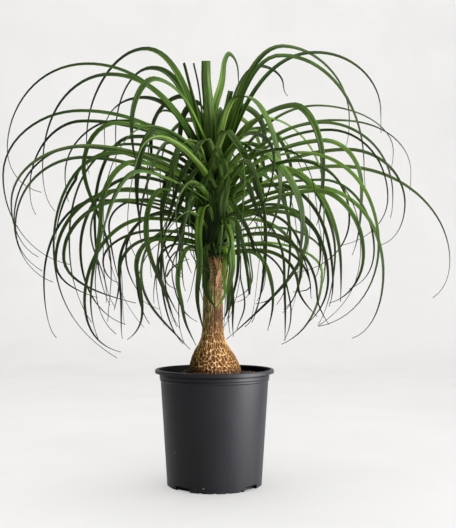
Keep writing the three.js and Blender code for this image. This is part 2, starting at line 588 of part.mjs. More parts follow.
function samples(points, steps, first) {
  const found = [];
  for (let i = first; i <= steps; i += 1) {
    found.push(new THREE.Vector2(...bezier(points, i / steps)));
  }
  return found;
}

// A leaf's full width near its root, then a taper to a thread, which sets in earlier on a long leaf
function leafWidth({ width, lean }, share, length) {
  if (lean) return width * (1 - CUT_TAPER * share);
  const long = smooth(LONG_LEAF.from, LONG_LEAF.to, length);
  const [reach, falls] = [0, 1].map((i) => mix(TAPER.short[i], TAPER.long[i], long));
  return Math.max(THREAD_WIDTH, width * (1 - share ** reach) ** falls);
}

// A three-sided blade with a flat upper face and a keel below, along a path in an upright plane
function makeLeaf(leaf) {
  const flat = leafPath(leaf);
  const lengths = [0];
  for (let i = 1; i < flat.length; i += 1) {
    lengths.push(lengths[i - 1] + flat[i].distanceTo(flat[i - 1]));
  }
  const length = lengths[lengths.length - 1];
  const shares = lengths.map((reached) => reached / length);
  const azimuth = degrees(leaf.azimuth);
  const outward = new THREE.Vector3(Math.cos(azimuth), Math.sin(azimuth), 0);
  const sideways = new THREE.Vector3(-outward.y, outward.x, 0);
  const sway = (leaf.sway ?? [0]).map((offset) => [offset]);
  const spine = flat.map((point, i) => outward.clone().multiplyScalar(point.x)
    .addScaledVector(sideways, bezier(sway, shares[i])[0])
    .setZ(point.y));
  const corners = [];
  spine.forEach((point, i) => {
    const [before, after] = [spine[Math.max(i - 1, 0)], spine[Math.min(i + 1, spine.length - 1)]];
    const along = after.clone().sub(before).normalize();
    const level = sideways.clone().addScaledVector(along, -sideways.dot(along)).normalize();
    const across = level.applyAxisAngle(along, degrees(leaf.roll[0] + leaf.roll[1] * shares[i]));
    const upper = along.clone().cross(across);
    const half = leafWidth(leaf, shares[i], length) / 2;
    const keel = mix(LEAF_KEEL, leaf.lean ? LEAF_KEEL : THREAD_KEEL, shares[i]);
    corners.push(point.clone().addScaledVector(across, half));
    corners.push(point.clone().addScaledVector(across, -half));
    corners.push(point.clone().addScaledVector(upper, -keel));
  });
  const faces = [[0, 2, 1]];
  for (let i = 0; i < spine.length - 1; i += 1) {
    for (let side = 0; side < 3; side += 1) {
      const [a, b] = [3 * i + side, 3 * i + ((side + 1) % 3)];
      faces.push([a, b, b + 3], [a, b + 3, a + 3]);
    }
  }
  const last = 3 * (spine.length - 1);
  faces.push([last, last + 1, last + 2]);
  const geometry = new THREE.BufferGeometry().setFromPoints(corners);
  geometry.setIndex(faces.flat());
  return geometry;
}

function makeCrown() {
  const highest = CROWN_RADII[CROWN_RADII.length - 1][0];
  const core = CROWN_RADII.map(([rise, radius]) => [radius, CROWN_BASE + rise]);
  const bases = toSolid(lathe([[0, CROWN_BASE], ...core, [0, CROWN_BASE + highest]], CROWN_SIDES));
  const draw = makeDraw(RULE_SEED);
  const leaves = [...ARCHES, ...SPEARS].map((leaf) => ({ roll: rollDraw(draw), ...leaf }));
  for (let order = 0; order < RULE_LEAVES; order += 1) leaves.push(ruleLeaf(order, draw));
  const joined = wasm.Manifold.union([bases, ...leaves.map((leaf) => toSolid(makeLeaf(leaf)))]);
  return toGeometry(withoutHollows(joined).asOriginal().simplify(SLIVER));
}

const palm = new THREE.Group();
palm.add(toMesh('nursery_pot', makePot(), { color: 0x2b2b2e, roughness: 0.45, metalness: 0 }));
palm.add(toMesh('potting_soil', makeSoil(), { color: 0x2e211a, roughness: 1, metalness: 0 }));
palm.add(toMesh('trunk', makeTrunk(), { color: 0xa8763f, roughness: 0.85, metalness: 0 }));
palm.add(toMesh('leaf_crown', makeCrown(), { color: 0x4a7327, roughness: 0.5, metalness: 0 }));

export default palm;
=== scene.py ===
"""A potted ponytail palm: a black nursery pot, its potting mix, the swollen trunk and long arching leaves.

Pieces are modelled in millimetres, +Z up, with the plant's front towards -Y, and finished in metres.
"""

import math
import random

import bmesh
import bpy
from mathutils import Matrix, Vector, noise


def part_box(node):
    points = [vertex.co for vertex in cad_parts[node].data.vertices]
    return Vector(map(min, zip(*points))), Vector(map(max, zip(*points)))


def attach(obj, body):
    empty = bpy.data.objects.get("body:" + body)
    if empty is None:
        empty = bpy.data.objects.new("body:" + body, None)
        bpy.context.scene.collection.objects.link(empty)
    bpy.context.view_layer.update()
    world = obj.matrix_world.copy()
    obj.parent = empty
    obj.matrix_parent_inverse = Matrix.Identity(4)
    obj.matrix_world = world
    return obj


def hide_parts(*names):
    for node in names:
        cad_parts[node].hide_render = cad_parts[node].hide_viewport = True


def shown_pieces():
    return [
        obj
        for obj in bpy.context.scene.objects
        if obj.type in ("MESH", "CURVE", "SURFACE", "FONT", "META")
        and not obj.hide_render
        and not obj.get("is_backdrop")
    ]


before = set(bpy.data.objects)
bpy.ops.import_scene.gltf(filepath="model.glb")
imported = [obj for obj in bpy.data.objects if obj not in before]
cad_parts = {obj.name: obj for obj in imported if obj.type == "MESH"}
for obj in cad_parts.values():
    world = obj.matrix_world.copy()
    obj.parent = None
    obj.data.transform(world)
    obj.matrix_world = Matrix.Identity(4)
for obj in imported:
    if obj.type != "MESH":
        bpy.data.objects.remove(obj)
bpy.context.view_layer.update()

MM = 0.001
BODY = "root"

# What lies within BY of an edge or of the axis counts as on it
BY = 1

# The vector noise that shapes the bark and the grains repeats itself only with a seed
NOISE_SEED = 1

# The pot: its rim comes from the frame, and the rest is measured from that
pot_low, pot_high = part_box("nursery_pot")
RIM_RADIUS = pot_high.x / MM
RIM_HEIGHT = pot_high.z / MM
LIP_DROP = 7
LIP_OVERHANG = 7.7
COLLAR_RADIUS = RIM_RADIUS - LIP_OVERHANG
COLLAR_BOTTOM = 215.5
COLLAR_STEP = 1.2
STEP_BOTTOM = 208.5
STEP_EDGE = 1.4
GROOVE = 1.2
BEAD_HEIGHT = 205
BEAD_PROUD = 1.6
BEAD_LOWER_EDGE = 1.2
BEAD_UPPER_EDGE = 0.9
WALL_TOP_RADIUS = 106.5
WALL_SETBACK = 0.2
BASE_RADIUS = 93
WALL = 1.8
EDGE = 1.5
FLOOR = 2
FLOOR_RISE = 4
CENTRE_FOOT_RADIUS = 30
STANDING_RING_INNER = 80
POT_STEPS = 144
POT_ROUNDING = 0.5
ROUNDED_ABOVE = 25
SHARP_ABOVE = 40
DRAIN_SLOT = {"count": 4, "first": 229, "width": 36, "height": 9, "depth": 10}
DRAIN_NOTCH = {"from_slot": (24, 41, 57, 74), "width": 7, "height": 4, "depth": 6}
DRAIN_ROUNDING = 0.45

# The potting mix, whose top is mounded round the trunk and lumpy. Each layer of lumps is LUMP_FINER times as
# fine as the one before it
SOIL_HEIGHT = 212
SOIL_MOUND = 4
MOUND_EDGE = (55, 90)
LUMP = 14
LUMP_HEIGHT = 1.6
LUMP_FADE = 0.9
LUMP_FINER = 2.1
LUMP_LAYERS = 5
LUMP_SLICE = 3.1
GAP = 0.3
HOLE_GAP = 0.8
HOLE_LIP = 3
SETTLES = 4
SOIL_STEPS = 180
SOIL_RINGS = 34

# Grains that lie on the mix: how many, their least and greatest size, and how thick they are for their size
GRAIN_SEED = 11
PEAT_CRUMBS = {"shape": "grain", "count": 1500, "size": (1.5, 5), "thick": 0.7}
BARK_CHIPS = {"shape": "chip", "count": 260, "size": (5, 13), "thick": 0.28}
PERLITE_GRAINS = {"shape": "grain", "count": 70, "size": (2, 4), "thick": 0.8}

# How far a grain's size, its breadth and its thickness may shrink, how ragged it is, and how it lies
SMALLER = (0.6, 1)
NARROWER = (0.5, 1)
THINNER = (0.6, 1)
RAGGED = 0.16
RAGGED_SCALE = 3
GRAIN_TILT = 0.3
GRAIN_RISE = 0.22

# The trunk: its radius at each height, from the buried root plate to the lowest leaves
TRUNK_RADII = (
    (190, 24), (195, 38), (203, 49), (213, 53.5), (222, 52.5), (231, 50.5), (245, 45.6), (256, 40.2),
    (264, 35.6), (273, 29.7), (282, 25.5), (293, 22.7), (306, 21.3), (344, 20.4), (383, 19.6), (415, 18.3),
    (440, 17.3),
)
TRUNK_STEPS = 230
TRUNK_ROW = 1.05

# The heights between which the trunk leans aside, rises clear of the mix, thins to its neck and gets scars
TRUNK_LEAN = -3.5
LEAN = (225, 275)
CLEAR_OF_MIX = (206, 218)
NECK = (270, 330)
SCARS = (370, 405)

# The bark's relief in pairs for the bulb and the neck: its depth, and how much of it the fine and the coarse
# net make. High on the neck, ring-shaped leaf scars take the nets' place, and a seam runs down its front
BARK_DEPTH = (1.9, 1.1)
FINE_SHARE = (0.85, 0.7)
COARSE_SHARE = (0.15, 0.3)
CRUMBLE = {"size": 3.2, "fade": 0.8, "finer": 2.1, "layers": 3, "depth": 0.35}
SCAR = {"pitch": 6.5, "depth": 0.9, "share": 0.75, "edge": 0.5, "wave": 1.5, "ragged": 0.8}
SEAM_ANGLE = math.radians(-82)
SEAM_WIDTH = 1.2
SEAM_FROM = (286, 306)

# The coarse net of the bark: rows of hollows round the trunk, whose ridges wander
COARSE_HOLLOWS = 12
COARSE_HEIGHT = 17
NET_WAVES = {"wander": 0.9, "swirl": 2.1, "twist": 3, "ripple": 5, "lean": 1.6}
NET_RIDGE = {"from": 0.05, "wide": 0.65, "tall": 0.5, "saddle": 0.55}

# The fine net of the bark: rows of scattered hollows, and the row that each height lies in
BARK_SEED = 4
HOLLOWS = 45
HOLLOW_ROWS = 24
HOLLOW_SCATTER = (0.1, 0.9)
HOLLOW_HEIGHTS = ((180, 1.5), (230, 8.6), (256, 11.4), (290, 13.8), (330, 15.4), (450, 19))
HOLLOW_SQUAT = 1.4
FINE_WARP = {"size": 9, "across": 0.5, "up": 0.4}
FINE_RIDGE = {"from": 0.02, "to": 0.26, "varies": 0.14, "size": 6}

# The bunch of leaf bases at the trunk's head, with folds that lean both ways
CROWN_BASE = 440 + GAP
CROWN_RADII = ((0, 18.5), (10, 23), (35, 31), (80, 34), (135, 30), (185, 22), (224, 9))
ROOT_DEPTH = 7
NEAREST_ROOT = 2
CORE_ROWS = 60
CORE_STEPS = 96
CORE_INSET = 3
FOLD_DEPTH = 3.5
FOLDS = {"around": 4, "pitch": 22}
CROSS_FOLDS = {"around": 3, "pitch": 17}

# A leaf's section and its steps
LEAF_THICKNESS = 0.6
LEAF_THREAD = 0.9
LEAF_ACROSS = 4
LEAF_STEPS = 44
SHORT_STEPS = 30
CURVE_STEPS = 24
CHANNEL = 0.34
BASE_CHANNEL = 0.75
BASE_CHANNEL_END = 0.2
EDGE_CURL = 1.25

# A leaf's width: it flares at its base, more so on a high leaf, and tapers to a thread. The taper of a long
# leaf sets in earlier
LOW_FLARE = 1.0
HIGH_FLARE = 1.6
FLARE_END = 0.24
FLARE_ROOTS = (480, 600)
LONG_LEAF = (380, 800)
TAPER_REACH = (2.6, 1.35)
TAPER_FALL = (0.9, 1.6)
BLUNT_TAPER = (3, 0.9)
CUT_TAPER = 0.3
UNWORN_MAP = 0.5

# The curves between a leaf's points: how far out it turns up from its root, how full its bow is, and how it
# hangs from its shoulder, as shares of the way to its tip. It also drifts aside a little
TURN_UP = 0.38
BOW = 0.5523
HANG = 0.5
STRAIGHT_HANG = (0.4, 0.72)
HOOKED_HANG = (0.42, 0.95)
DRIFT = 16
DRIFT_WAVES = 3.1
DRIFT_SETS_IN = (0.15, 0.6)


def mix(a, b, share):
    return a + (b - a) * share


def within(limits, share):
    """The value at a share of the way between two limits."""
    return mix(*limits, share)


def smooth(low, high, value):
    """A smooth step from 0 at the low value to 1 at the high one."""
    share = min(1, max(0, (value - low) / (high - low)))
    return share * share * (3 - 2 * share)


def between(pairs, height):
    """The smooth value at a height between the driving pairs of height and value."""
    above = 1
    while above < len(pairs) - 1 and pairs[above][0] < height:
        above += 1
    (low, a), (high, b) = pairs[above - 1], pairs[above]
    share = (height - low) / (high - low)
    before = pairs[max(above - 2, 0)]
    after = pairs[min(above + 1, len(pairs) - 1)]
    slope_a = (b - before[1]) / (high - before[0]) * (high - low)
    slope_b = (after[1] - a) / (after[0] - low) * (high - low)
    square = share * share
    cube = square * share
    return (
        (2 * cube - 3 * square + 1) * a
        + (cube - 2 * square + share) * slope_a
        + (3 * square - 2 * cube) * b
        + (cube - square) * slope_b
    )


def pull_in(vert, share):
    """Moves a vertex towards the Z axis, or away from it, to a share of its distance."""
    vert.co.x *= share
    vert.co.y *= share


def colour(code):
    """A hex sRGB colour as linear red, green, blue and alpha."""
    parts = [int(code[i : i + 2], 16) / 255 for i in (1, 3, 5)]
    return [v / 12.92 if v <= 0.04045 else ((v + 0.055) / 1.055) ** 2.4 for v in parts] + [1.0]


def add_node(tree, kind, settings=None, inputs=None, stops=None):
    """Adds a node, with its settings, its inputs as values or links, and the colours of a ramp.

    Inputs go by name, or by number where a node's sockets share a name.
    """
    node = tree.nodes.new(kind)
    for name, value in (settings or {}).items():
        setattr(node, name, value)
    for name, value in (inputs or {}).items():
        if isinstance(value, bpy.types.Node):
            value = value.outputs[0]
        if isinstance(value, bpy.types.NodeSocket):
            tree.links.new(value, node.inputs[name])
        else:
            node.inputs[name].default_value = value
    if stops:
        ramp = node.color_ramp.elements
        ramp.remove(ramp[1])
        ramp[0].position, ramp[0].color = stops[0][0], colour(stops[0][1])
        for place, code in stops[1:]:
            ramp.new(place).color = colour(code)
    return node


# The numbers of a colour Mix node's sockets, and its settings
FACTOR = 0
FIRST = 6
SECOND = 7
MIXED = 2
BLEND = {"data_type": "RGBA"}
TINT = {"data_type": "RGBA", "blend_type": "MULTIPLY"}


def new_material(name):
    """An empty node tree with its shader, ready for colour, roughness and relief."""
    material = bpy.data.materials.new(name)
    material.use_nodes = True
    return material, material.node_tree, material.node_tree.nodes["Principled BSDF"]


def finish_piece(name, bm, materials, slot, *nodes):
    """Turns a bmesh in millimetres to an object in metres, which rides on the part's body."""
    bmesh.ops.scale(bm, vec=(MM, MM, MM), verts=bm.verts)
    mesh = bpy.data.meshes.new(name)
    bm.to_mesh(mesh)
    bm.free()
    mesh.shade_smooth()
    for material in materials:
        mesh.materials.append(material)
    piece = bpy.data.objects.new(name, mesh)
    bpy.context.scene.collection.objects.link(piece)
    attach(piece, BODY)
    if nodes:
        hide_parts(*nodes)
    return piece


def spin_profile(bm, profile, steps):
    """Turns a profile of radius and height pairs round the Z axis into a closed body."""
    merged_within = 0.001
    corners = [bm.verts.new((radius, 0, height)) for radius, height in profile]
    edges = [bm.edges.new(pair) for pair in zip(corners, corners[1:])]
    outline = corners + edges
    bmesh.ops.spin(
        bm, geom=outline, cent=(0, 0, 0), axis=(0, 0, 1), angle=math.tau, steps=steps, use_merge=True
    )
    bmesh.ops.remove_doubles(bm, verts=bm.verts, dist=merged_within)
    bmesh.ops.recalc_face_normals(bm, faces=bm.faces)


# Materials


def moulded_polyethylene():
    """Injection-moulded black polyethylene: charcoal, with a soft sheen, faint flow marks and some dust."""
    material, tree, shader = new_material("moulded_black_polyethylene")
    place = add_node(tree, "ShaderNodeTexCoord").outputs["Object"]
    flow_marks = add_node(tree, "ShaderNodeMapping", inputs={"Vector": place, "Scale": (1, 1, 0.25)})
    flow = add_node(
        tree, "ShaderNodeTexNoise", inputs={"Vector": flow_marks, "Scale": 1 / (45 * MM), "Detail": 4}
    )
    skin = add_node(
        tree,
        "ShaderNodeValToRGB",
        inputs={"Fac": flow},
        stops=[(0.3, "#121215"), (0.7, "#18181d")],
    )
    specks = add_node(
        tree, "ShaderNodeTexVoronoi", inputs={"Vector": place, "Scale": 1 / (26 * MM), "Randomness": 1}
    )
    near = add_node(
        tree, "ShaderNodeMapRange", inputs={"Value": specks, "From Min": 0.058, "From Max": 0.035}
    )
    picked = add_node(
        tree,
        "ShaderNodeMath",
        {"operation": "GREATER_THAN"},
        {0: specks.outputs["Color"], 1: 0.42},
    )
    dust = add_node(tree, "ShaderNodeMath", {"operation": "MULTIPLY"}, {0: near, 1: picked})
    dusty = add_node(
        tree,
        "ShaderNodeMix",
        BLEND,
        {FACTOR: dust, FIRST: skin, SECOND: colour("#8a867f")},
    )
    tree.links.new(dusty.outputs[MIXED], shader.inputs["Base Color"])
    rough = add_node(
        tree,
        "ShaderNodeMapRange",
        inputs={"Value": flow, "From Min": 0.3, "From Max": 0.7, "To Min": 0.4, "To Max": 0.5},
    )
    tree.links.new(rough.outputs[0], shader.inputs["Roughness"])
    grain = add_node(
        tree, "ShaderNodeTexNoise", inputs={"Vector": place, "Scale": 1 / (1.2 * MM), "Detail": 2}
    )
    relief = add_node(
        tree, "ShaderNodeBump", inputs={"Strength": 0.12, "Distance": 0.15 * MM, "Height": grain}
    )
    tree.links.new(relief.outputs[0], shader.inputs["Normal"])
    shader.inputs["IOR"].default_value = 1.5
    shader.inputs["Specular IOR Level"].default_value = 0.22
    return material


def shaded_stained_polyethylene():
    """The pot's inside: the same plastic, near black with painted shade and dulled by dried splashes of the
    mix.
    """
    material, tree, shader = new_material("shaded_soil_stained_polyethylene")
    place = add_node(tree, "ShaderNodeTexCoord").outputs["Object"]
    splashes = add_node(
        tree,
        "ShaderNodeTexNoise",
        inputs={"Vector": place, "Scale": 1 / (6 * MM), "Detail": 6, "Roughness": 0.7},
    )
    # Painted shade: the inside is near black, darker than the outer skin, with brownish splashes of real stain
    shades = add_node(
        tree,
        "ShaderNodeValToRGB",
        inputs={"Fac": splashes},
        stops=[(0.5, "#050506"), (0.62, "#0d0b0a"), (0.75, "#241d17")],
    )
    tree.links.new(shades.outputs[0], shader.inputs["Base Color"])
    shader.inputs["Roughness"].default_value = 0.75
    shader.inputs["Specular IOR Level"].default_value = 0.04
    return material


def potting_mix():
    """Moist peat and composted bark: nearly black brown, with paler fibres and no gloss."""
    material, tree, shader = new_material("moist_peat_potting_mix")
    place = add_node(tree, "ShaderNodeTexCoord").outputs["Object"]
    clods = add_node(
        tree,
        "ShaderNodeTexNoise",
        inputs={"Vector": place, "Scale": 1 / (7 * MM), "Detail": 8, "Roughness": 0.7},
    )
    shades = add_node(
        tree,
        "ShaderNodeValToRGB",
        inputs={"Fac": clods},
        stops=[(0.3, "#0a0706"), (0.55, "#18110d"), (0.75, "#32241a")],
    )
    tree.links.new(shades.outputs[0], shader.inputs["Base Color"])
    relief = add_node(
        tree, "ShaderNodeBump", inputs={"Strength": 0.9, "Distance": 1.2 * MM, "Height": clods}
    )
    tree.links.new(relief.outputs[0], shader.inputs["Normal"])
    shader.inputs["Roughness"].default_value = 0.95
    shader.inputs["Specular IOR Level"].default_value = 0.2
    return material


def composted_bark():
    """Chips of composted bark: dull brown, each of its own shade."""
    material, tree, shader = new_material("composted_bark_chips")
    tone = add_node(tree, "ShaderNodeAttribute", {"attribute_name": "tone"}).outputs["Fac"]
    place = add_node(tree, "ShaderNodeTexCoord").outputs["Object"]
    fibres = add_node(
        tree, "ShaderNodeTexNoise", inputs={"Vector": place, "Scale": 1 / (2 * MM), "Detail": 3}
    )
    shade = add_node(tree, "ShaderNodeMath", {"operation": "MULTIPLY_ADD"}, {0: fibres, 1: 0.35, 2: tone})
    shades = add_node(
        tree,
        "ShaderNodeValToRGB",
        inputs={"Fac": shade},
        stops=[(0.1, "#100b08"), (0.55, "#1f1610"), (0.85, "#3c2b1f"), (1.0, "#6b5038")],
    )
    tree.links.new(shades.outputs[0], shader.inputs["Base Color"])
    shader.inputs["Roughness"].default_value = 0.85
    return material


def expanded_perlite():
    """Expanded perlite: chalky off-white grains, soiled by the mix round them."""
    material, tree, shader = new_material("expanded_perlite")
    place = add_node(tree, "ShaderNodeTexCoord").outputs["Object"]
    stain = add_node(tree, "ShaderNodeTexNoise", inputs={"Vector": place, "Scale": 1 / (3 * MM), "Detail": 4})
    shades = add_node(
        tree, "ShaderNodeValToRGB", inputs={"Fac": stain}, stops=[(0.35, "#8f8474"), (0.6, "#d8d2c6")]
    )
    tree.links.new(shades.outputs[0], shader.inputs["Base Color"])
    shader.inputs["Roughness"].default_value = 0.9
    return material


def corky_bark():
    """Cork-like bark: pale tan plates with dark brown fissures on the bulb, and a brown skin on the neck.

    A painted reflection of green light from the leaves lies olive on the neck's left side and spreads over its
    upper half, and painted shade darkens both sides of the bulb. The lowest 20 mm are stained by the damp mix.
    """
    material, tree, shader = new_material("corky_palm_bark")
    plate = add_node(tree, "ShaderNodeAttribute", {"attribute_name": "plate"}).outputs["Fac"]
    neck = add_node(tree, "ShaderNodeAttribute", {"attribute_name": "neck"}).outputs["Fac"]
    place = add_node(tree, "ShaderNodeTexCoord").outputs["Object"]
    upright = add_node(tree, "ShaderNodeMapping", inputs={"Vector": place, "Scale": (1, 1, 0.35)})
    fibres = add_node(
        tree,
        "ShaderNodeTexNoise",
        inputs={"Vector": upright, "Scale": 1 / (2.4 * MM), "Detail": 6, "Roughness": 0.65},
    )
    patches = add_node(
        tree, "ShaderNodeTexNoise", inputs={"Vector": place, "Scale": 1 / (30 * MM), "Detail": 3}
    )
    height = add_node(tree, "ShaderNodeMath", {"operation": "MULTIPLY_ADD"}, {0: fibres, 1: 0.5, 2: -0.25})
    worn = add_node(tree, "ShaderNodeMath", {"operation": "ADD"}, {0: plate, 1: height})
    bulb_shades = add_node(
        tree,
        "ShaderNodeValToRGB",
        inputs={"Fac": worn},
        stops=[(0.0, "#5b3b1c"), (0.25, "#946531"), (0.5, "#c18f52"), (0.8, "#f8dcb0"), (1.0, "#fff5e0")],
    )
    neck_shades = add_node(
        tree,
        "ShaderNodeValToRGB",
        inputs={"Fac": worn},
        stops=[(0.0, "#503622"), (0.35, "#785840"), (0.6, "#947252"), (0.95, "#b69774")],
    )
    # Painted reflection: lighter olive-green shades stand for the leaves' green light on the neck's left side
    # and upper half
    leaf_reflection_shades = add_node(
        tree,
        "ShaderNodeValToRGB",
        inputs={"Fac": worn},
        stops=[(0.0, "#544a2a"), (0.35, "#8a7f4c"), (0.6, "#a89b66"), (0.95, "#cdc092")],
    )
    sides = add_node(tree, "ShaderNodeSeparateXYZ", inputs={0: place})
    aside = sides.outputs["X"]
    up = sides.outputs["Z"]
    rising = add_node(
        tree,
        "ShaderNodeMapRange",
        inputs={"Value": up, "From Min": 326 * MM, "From Max": 352 * MM, "To Max": 16 * MM},
    )
    falling = add_node(
        tree,
        "ShaderNodeMapRange",
        inputs={"Value": up, "From Min": 380 * MM, "From Max": 392 * MM, "To Min": 1, "To Max": 0},
    )
    spread = add_node(tree, "ShaderNodeMath", {"operation": "MULTIPLY"}, {0: rising, 1: falling})
    inner_side = add_node(tree, "ShaderNodeMath", {"operation": "SUBTRACT"}, {0: aside, 1: spread})
    painted_reflection = add_node(
        tree, "ShaderNodeMapRange", inputs={"Value": inner_side, "From Min": 1 * MM, "From Max": -17 * MM}
    )
    neck_with_painted_reflection = add_node(
        tree,
        "ShaderNodeMix",
        BLEND,
        {FACTOR: painted_reflection, FIRST: neck_shades, SECOND: leaf_reflection_shades},
    )
    skin = add_node(
        tree,
        "ShaderNodeMix",
        BLEND,
        {FACTOR: neck, FIRST: bulb_shades, SECOND: neck_with_painted_reflection.outputs[MIXED]},
    )
    weathering = add_node(
        tree,
        "ShaderNodeValToRGB",
        inputs={"Fac": patches},
        stops=[(0.35, "#a99c88"), (0.65, "#ffffff")],
    )
    weathered = add_node(
        tree,
        "ShaderNodeMix",
        TINT,
        {FACTOR: 0.6, FIRST: skin.outputs[MIXED], SECOND: weathering},
    )
    # Painted shade: both sides of the trunk are darkened, most on the wide bulb, greenish on the left and
    # grey-brown on the right
    around = add_node(
        tree, "ShaderNodeMapRange", inputs={"Value": aside, "From Min": -50 * MM, "From Max": 50 * MM}
    )
    painted_side_shade = add_node(
        tree,
        "ShaderNodeValToRGB",
        inputs={"Fac": around},
        stops=[(0.05, "#a9ae7c"), (0.28, "#f6f4de"), (0.45, "#ffffff"), (0.7, "#e8e1d0"), (0.92, "#b5ac92")],
    )
    side_shaded = add_node(
        tree,
        "ShaderNodeMix",
        TINT,
        {FACTOR: 1, FIRST: weathered.outputs[MIXED], SECOND: painted_side_shade},
    )
    damp = add_node(
        tree,
        "ShaderNodeMapRange",
        inputs={"Value": up, "From Min": 235 * MM, "From Max": 216 * MM, "To Max": 0.85},
    )
    stained = add_node(
        tree,
        "ShaderNodeMix",
        TINT,
        {FACTOR: damp, FIRST: side_shaded.outputs[MIXED], SECOND: colour("#7a4a38")},
    )
    tree.links.new(stained.outputs[MIXED], shader.inputs["Base Color"])
    relief = add_node(
        tree, "ShaderNodeBump", inputs={"Strength": 0.7, "Distance": 0.6 * MM, "Height": fibres}
    )
    tree.links.new(relief.outputs[0], shader.inputs["Normal"])
    shader.inputs["Roughness"].default_value = 0.85
    shader.inputs["Specular IOR Level"].default_value = 0.25
    return material


def waxy_leaf(name, deep_shades, fresh_shades, roughness):
    """A leathery leaf with a wax skin, from yellow-green at its base to a grey-green thread with a dry tip.

    Each leaf lies somewhere between a deep and a fresh green. Parallel veins run its whole length, drawn
    coarser than the real ones so that they show, 1.2 mm apart on a 15 mm blade. Painted shade darkens the
    middle of each blade's channel and the leaves close to the trunk low in the crown.
    """
    veins_across = 12
    vein_breaks = 9
    seed_spread = 90
    material, tree, shader = new_material(name)
    across_along = add_node(tree, "ShaderNodeUVMap", {"uv_map": "blade"})
    blade = add_node(tree, "ShaderNodeSeparateXYZ", inputs={0: across_along})
    along = blade.outputs["Y"]
    tone = add_node(tree, "ShaderNodeAttribute", {"attribute_name": "tone"}).outputs["Fac"]
    place = add_node(tree, "ShaderNodeTexCoord").outputs["Object"]
    leaf_seed = add_node(tree, "ShaderNodeMath", {"operation": "MULTIPLY"}, {0: tone, 1: seed_spread})
    stretched = add_node(
        tree,
        "ShaderNodeVectorMath",
        {"operation": "MULTIPLY"},
        {0: across_along, 1: (veins_across, vein_breaks, 0)},
    )
    own_place = add_node(tree, "ShaderNodeCombineXYZ", inputs={"Z": leaf_seed})
    vein_place = add_node(
        tree, "ShaderNodeVectorMath", {"operation": "ADD"}, {0: stretched, 1: own_place}
    )
    veins = add_node(tree, "ShaderNodeTexNoise", inputs={"Vector": vein_place, "Scale": 1, "Detail": 3})
    deep = add_node(tree, "ShaderNodeValToRGB", inputs={"Fac": along}, stops=deep_shades)
    fresh = add_node(tree, "ShaderNodeValToRGB", inputs={"Fac": along}, stops=fresh_shades)
    blotches = add_node(
        tree, "ShaderNodeTexNoise", inputs={"Vector": place, "Scale": 1 / (38 * MM), "Detail": 3}
    )
    patchy = add_node(
        tree, "ShaderNodeMath", {"operation": "MULTIPLY_ADD"}, {0: blotches, 1: 0.5, 2: -0.25}
    )
    variety = add_node(
        tree, "ShaderNodeMath", {"operation": "ADD", "use_clamp": True}, {0: tone, 1: patchy}
    )
    green = add_node(
        tree, "ShaderNodeMix", BLEND, {FACTOR: variety, FIRST: deep, SECOND: fresh}
    )
    sides = add_node(tree, "ShaderNodeSeparateXYZ", inputs={0: place})
    level = add_node(tree, "ShaderNodeVectorMath", {"operation": "MULTIPLY"}, {0: place, 1: (1, 1, 0)})
    from_axis = add_node(tree, "ShaderNodeVectorMath", {"operation": "LENGTH"}, {0: level})
    # Painted shade: leaves close to the trunk's axis and low in the crown are tinted darker olive, where the
    # crown shades them
    packed = add_node(
        tree,
        "ShaderNodeMapRange",
        inputs={"Value": from_axis.outputs["Value"], "From Min": 24 * MM, "From Max": 62 * MM,
                "To Min": 0.15, "To Max": 0},
    )
    below = add_node(
        tree,
        "ShaderNodeMapRange",
        inputs={"Value": sides.outputs["Z"], "From Min": 590 * MM, "From Max": 650 * MM,
                "To Min": 1, "To Max": 0.15},
    )
    painted_shade_share = add_node(tree, "ShaderNodeMath", {"operation": "MULTIPLY"}, {0: packed, 1: below})
    shaded_green = add_node(
        tree,
        "ShaderNodeMix",
        TINT,
        {FACTOR: painted_shade_share, FIRST: green.outputs[MIXED], SECOND: colour("#7f9a52")},
    )
    stripes = add_node(
        tree, "ShaderNodeValToRGB", inputs={"Fac": veins}, stops=[(0.34, "#75875f"), (0.62, "#ffffff")]
    )
    striped = add_node(
        tree,
        "ShaderNodeMix",
        TINT,
        {FACTOR: 0.85, FIRST: shaded_green.outputs[MIXED], SECOND: stripes},
    )
    # Painted shade and light across the blade: darker along the middle of its channel, lighter towards its
    # edges, one edge more than the other
    channel = add_node(
        tree,
        "ShaderNodeValToRGB",
        inputs={"Fac": blade.outputs["X"]},
        stops=[(0.0, "#dfe6c4"), (0.3, "#ffffff"), (0.46, "#a3b184"), (0.54, "#93a376"), (0.7, "#c9d3ac"),
               (1.0, "#b3c094")],
    )
    channel_shaded = add_node(
        tree,
        "ShaderNodeMix",
        TINT,
        {FACTOR: 0.9, FIRST: striped.outputs[MIXED], SECOND: channel},
    )
    tree.links.new(channel_shaded.outputs[MIXED], shader.inputs["Base Color"])
    wax = add_node(
        tree,
        "ShaderNodeMapRange",
        inputs={"Value": veins, "From Min": 0.3, "From Max": 0.7,
                "To Min": roughness - 0.06, "To Max": roughness + 0.08},
    )
    tree.links.new(wax.outputs[0], shader.inputs["Roughness"])
    relief = add_node(
        tree, "ShaderNodeBump", inputs={"Strength": 0.35, "Distance": 0.3 * MM, "Height": veins}
    )
    tree.links.new(relief.outputs[0], shader.inputs["Normal"])
    shader.inputs["IOR"].default_value = 1.45
    shader.inputs["Specular IOR Level"].default_value = 0.15
    return material


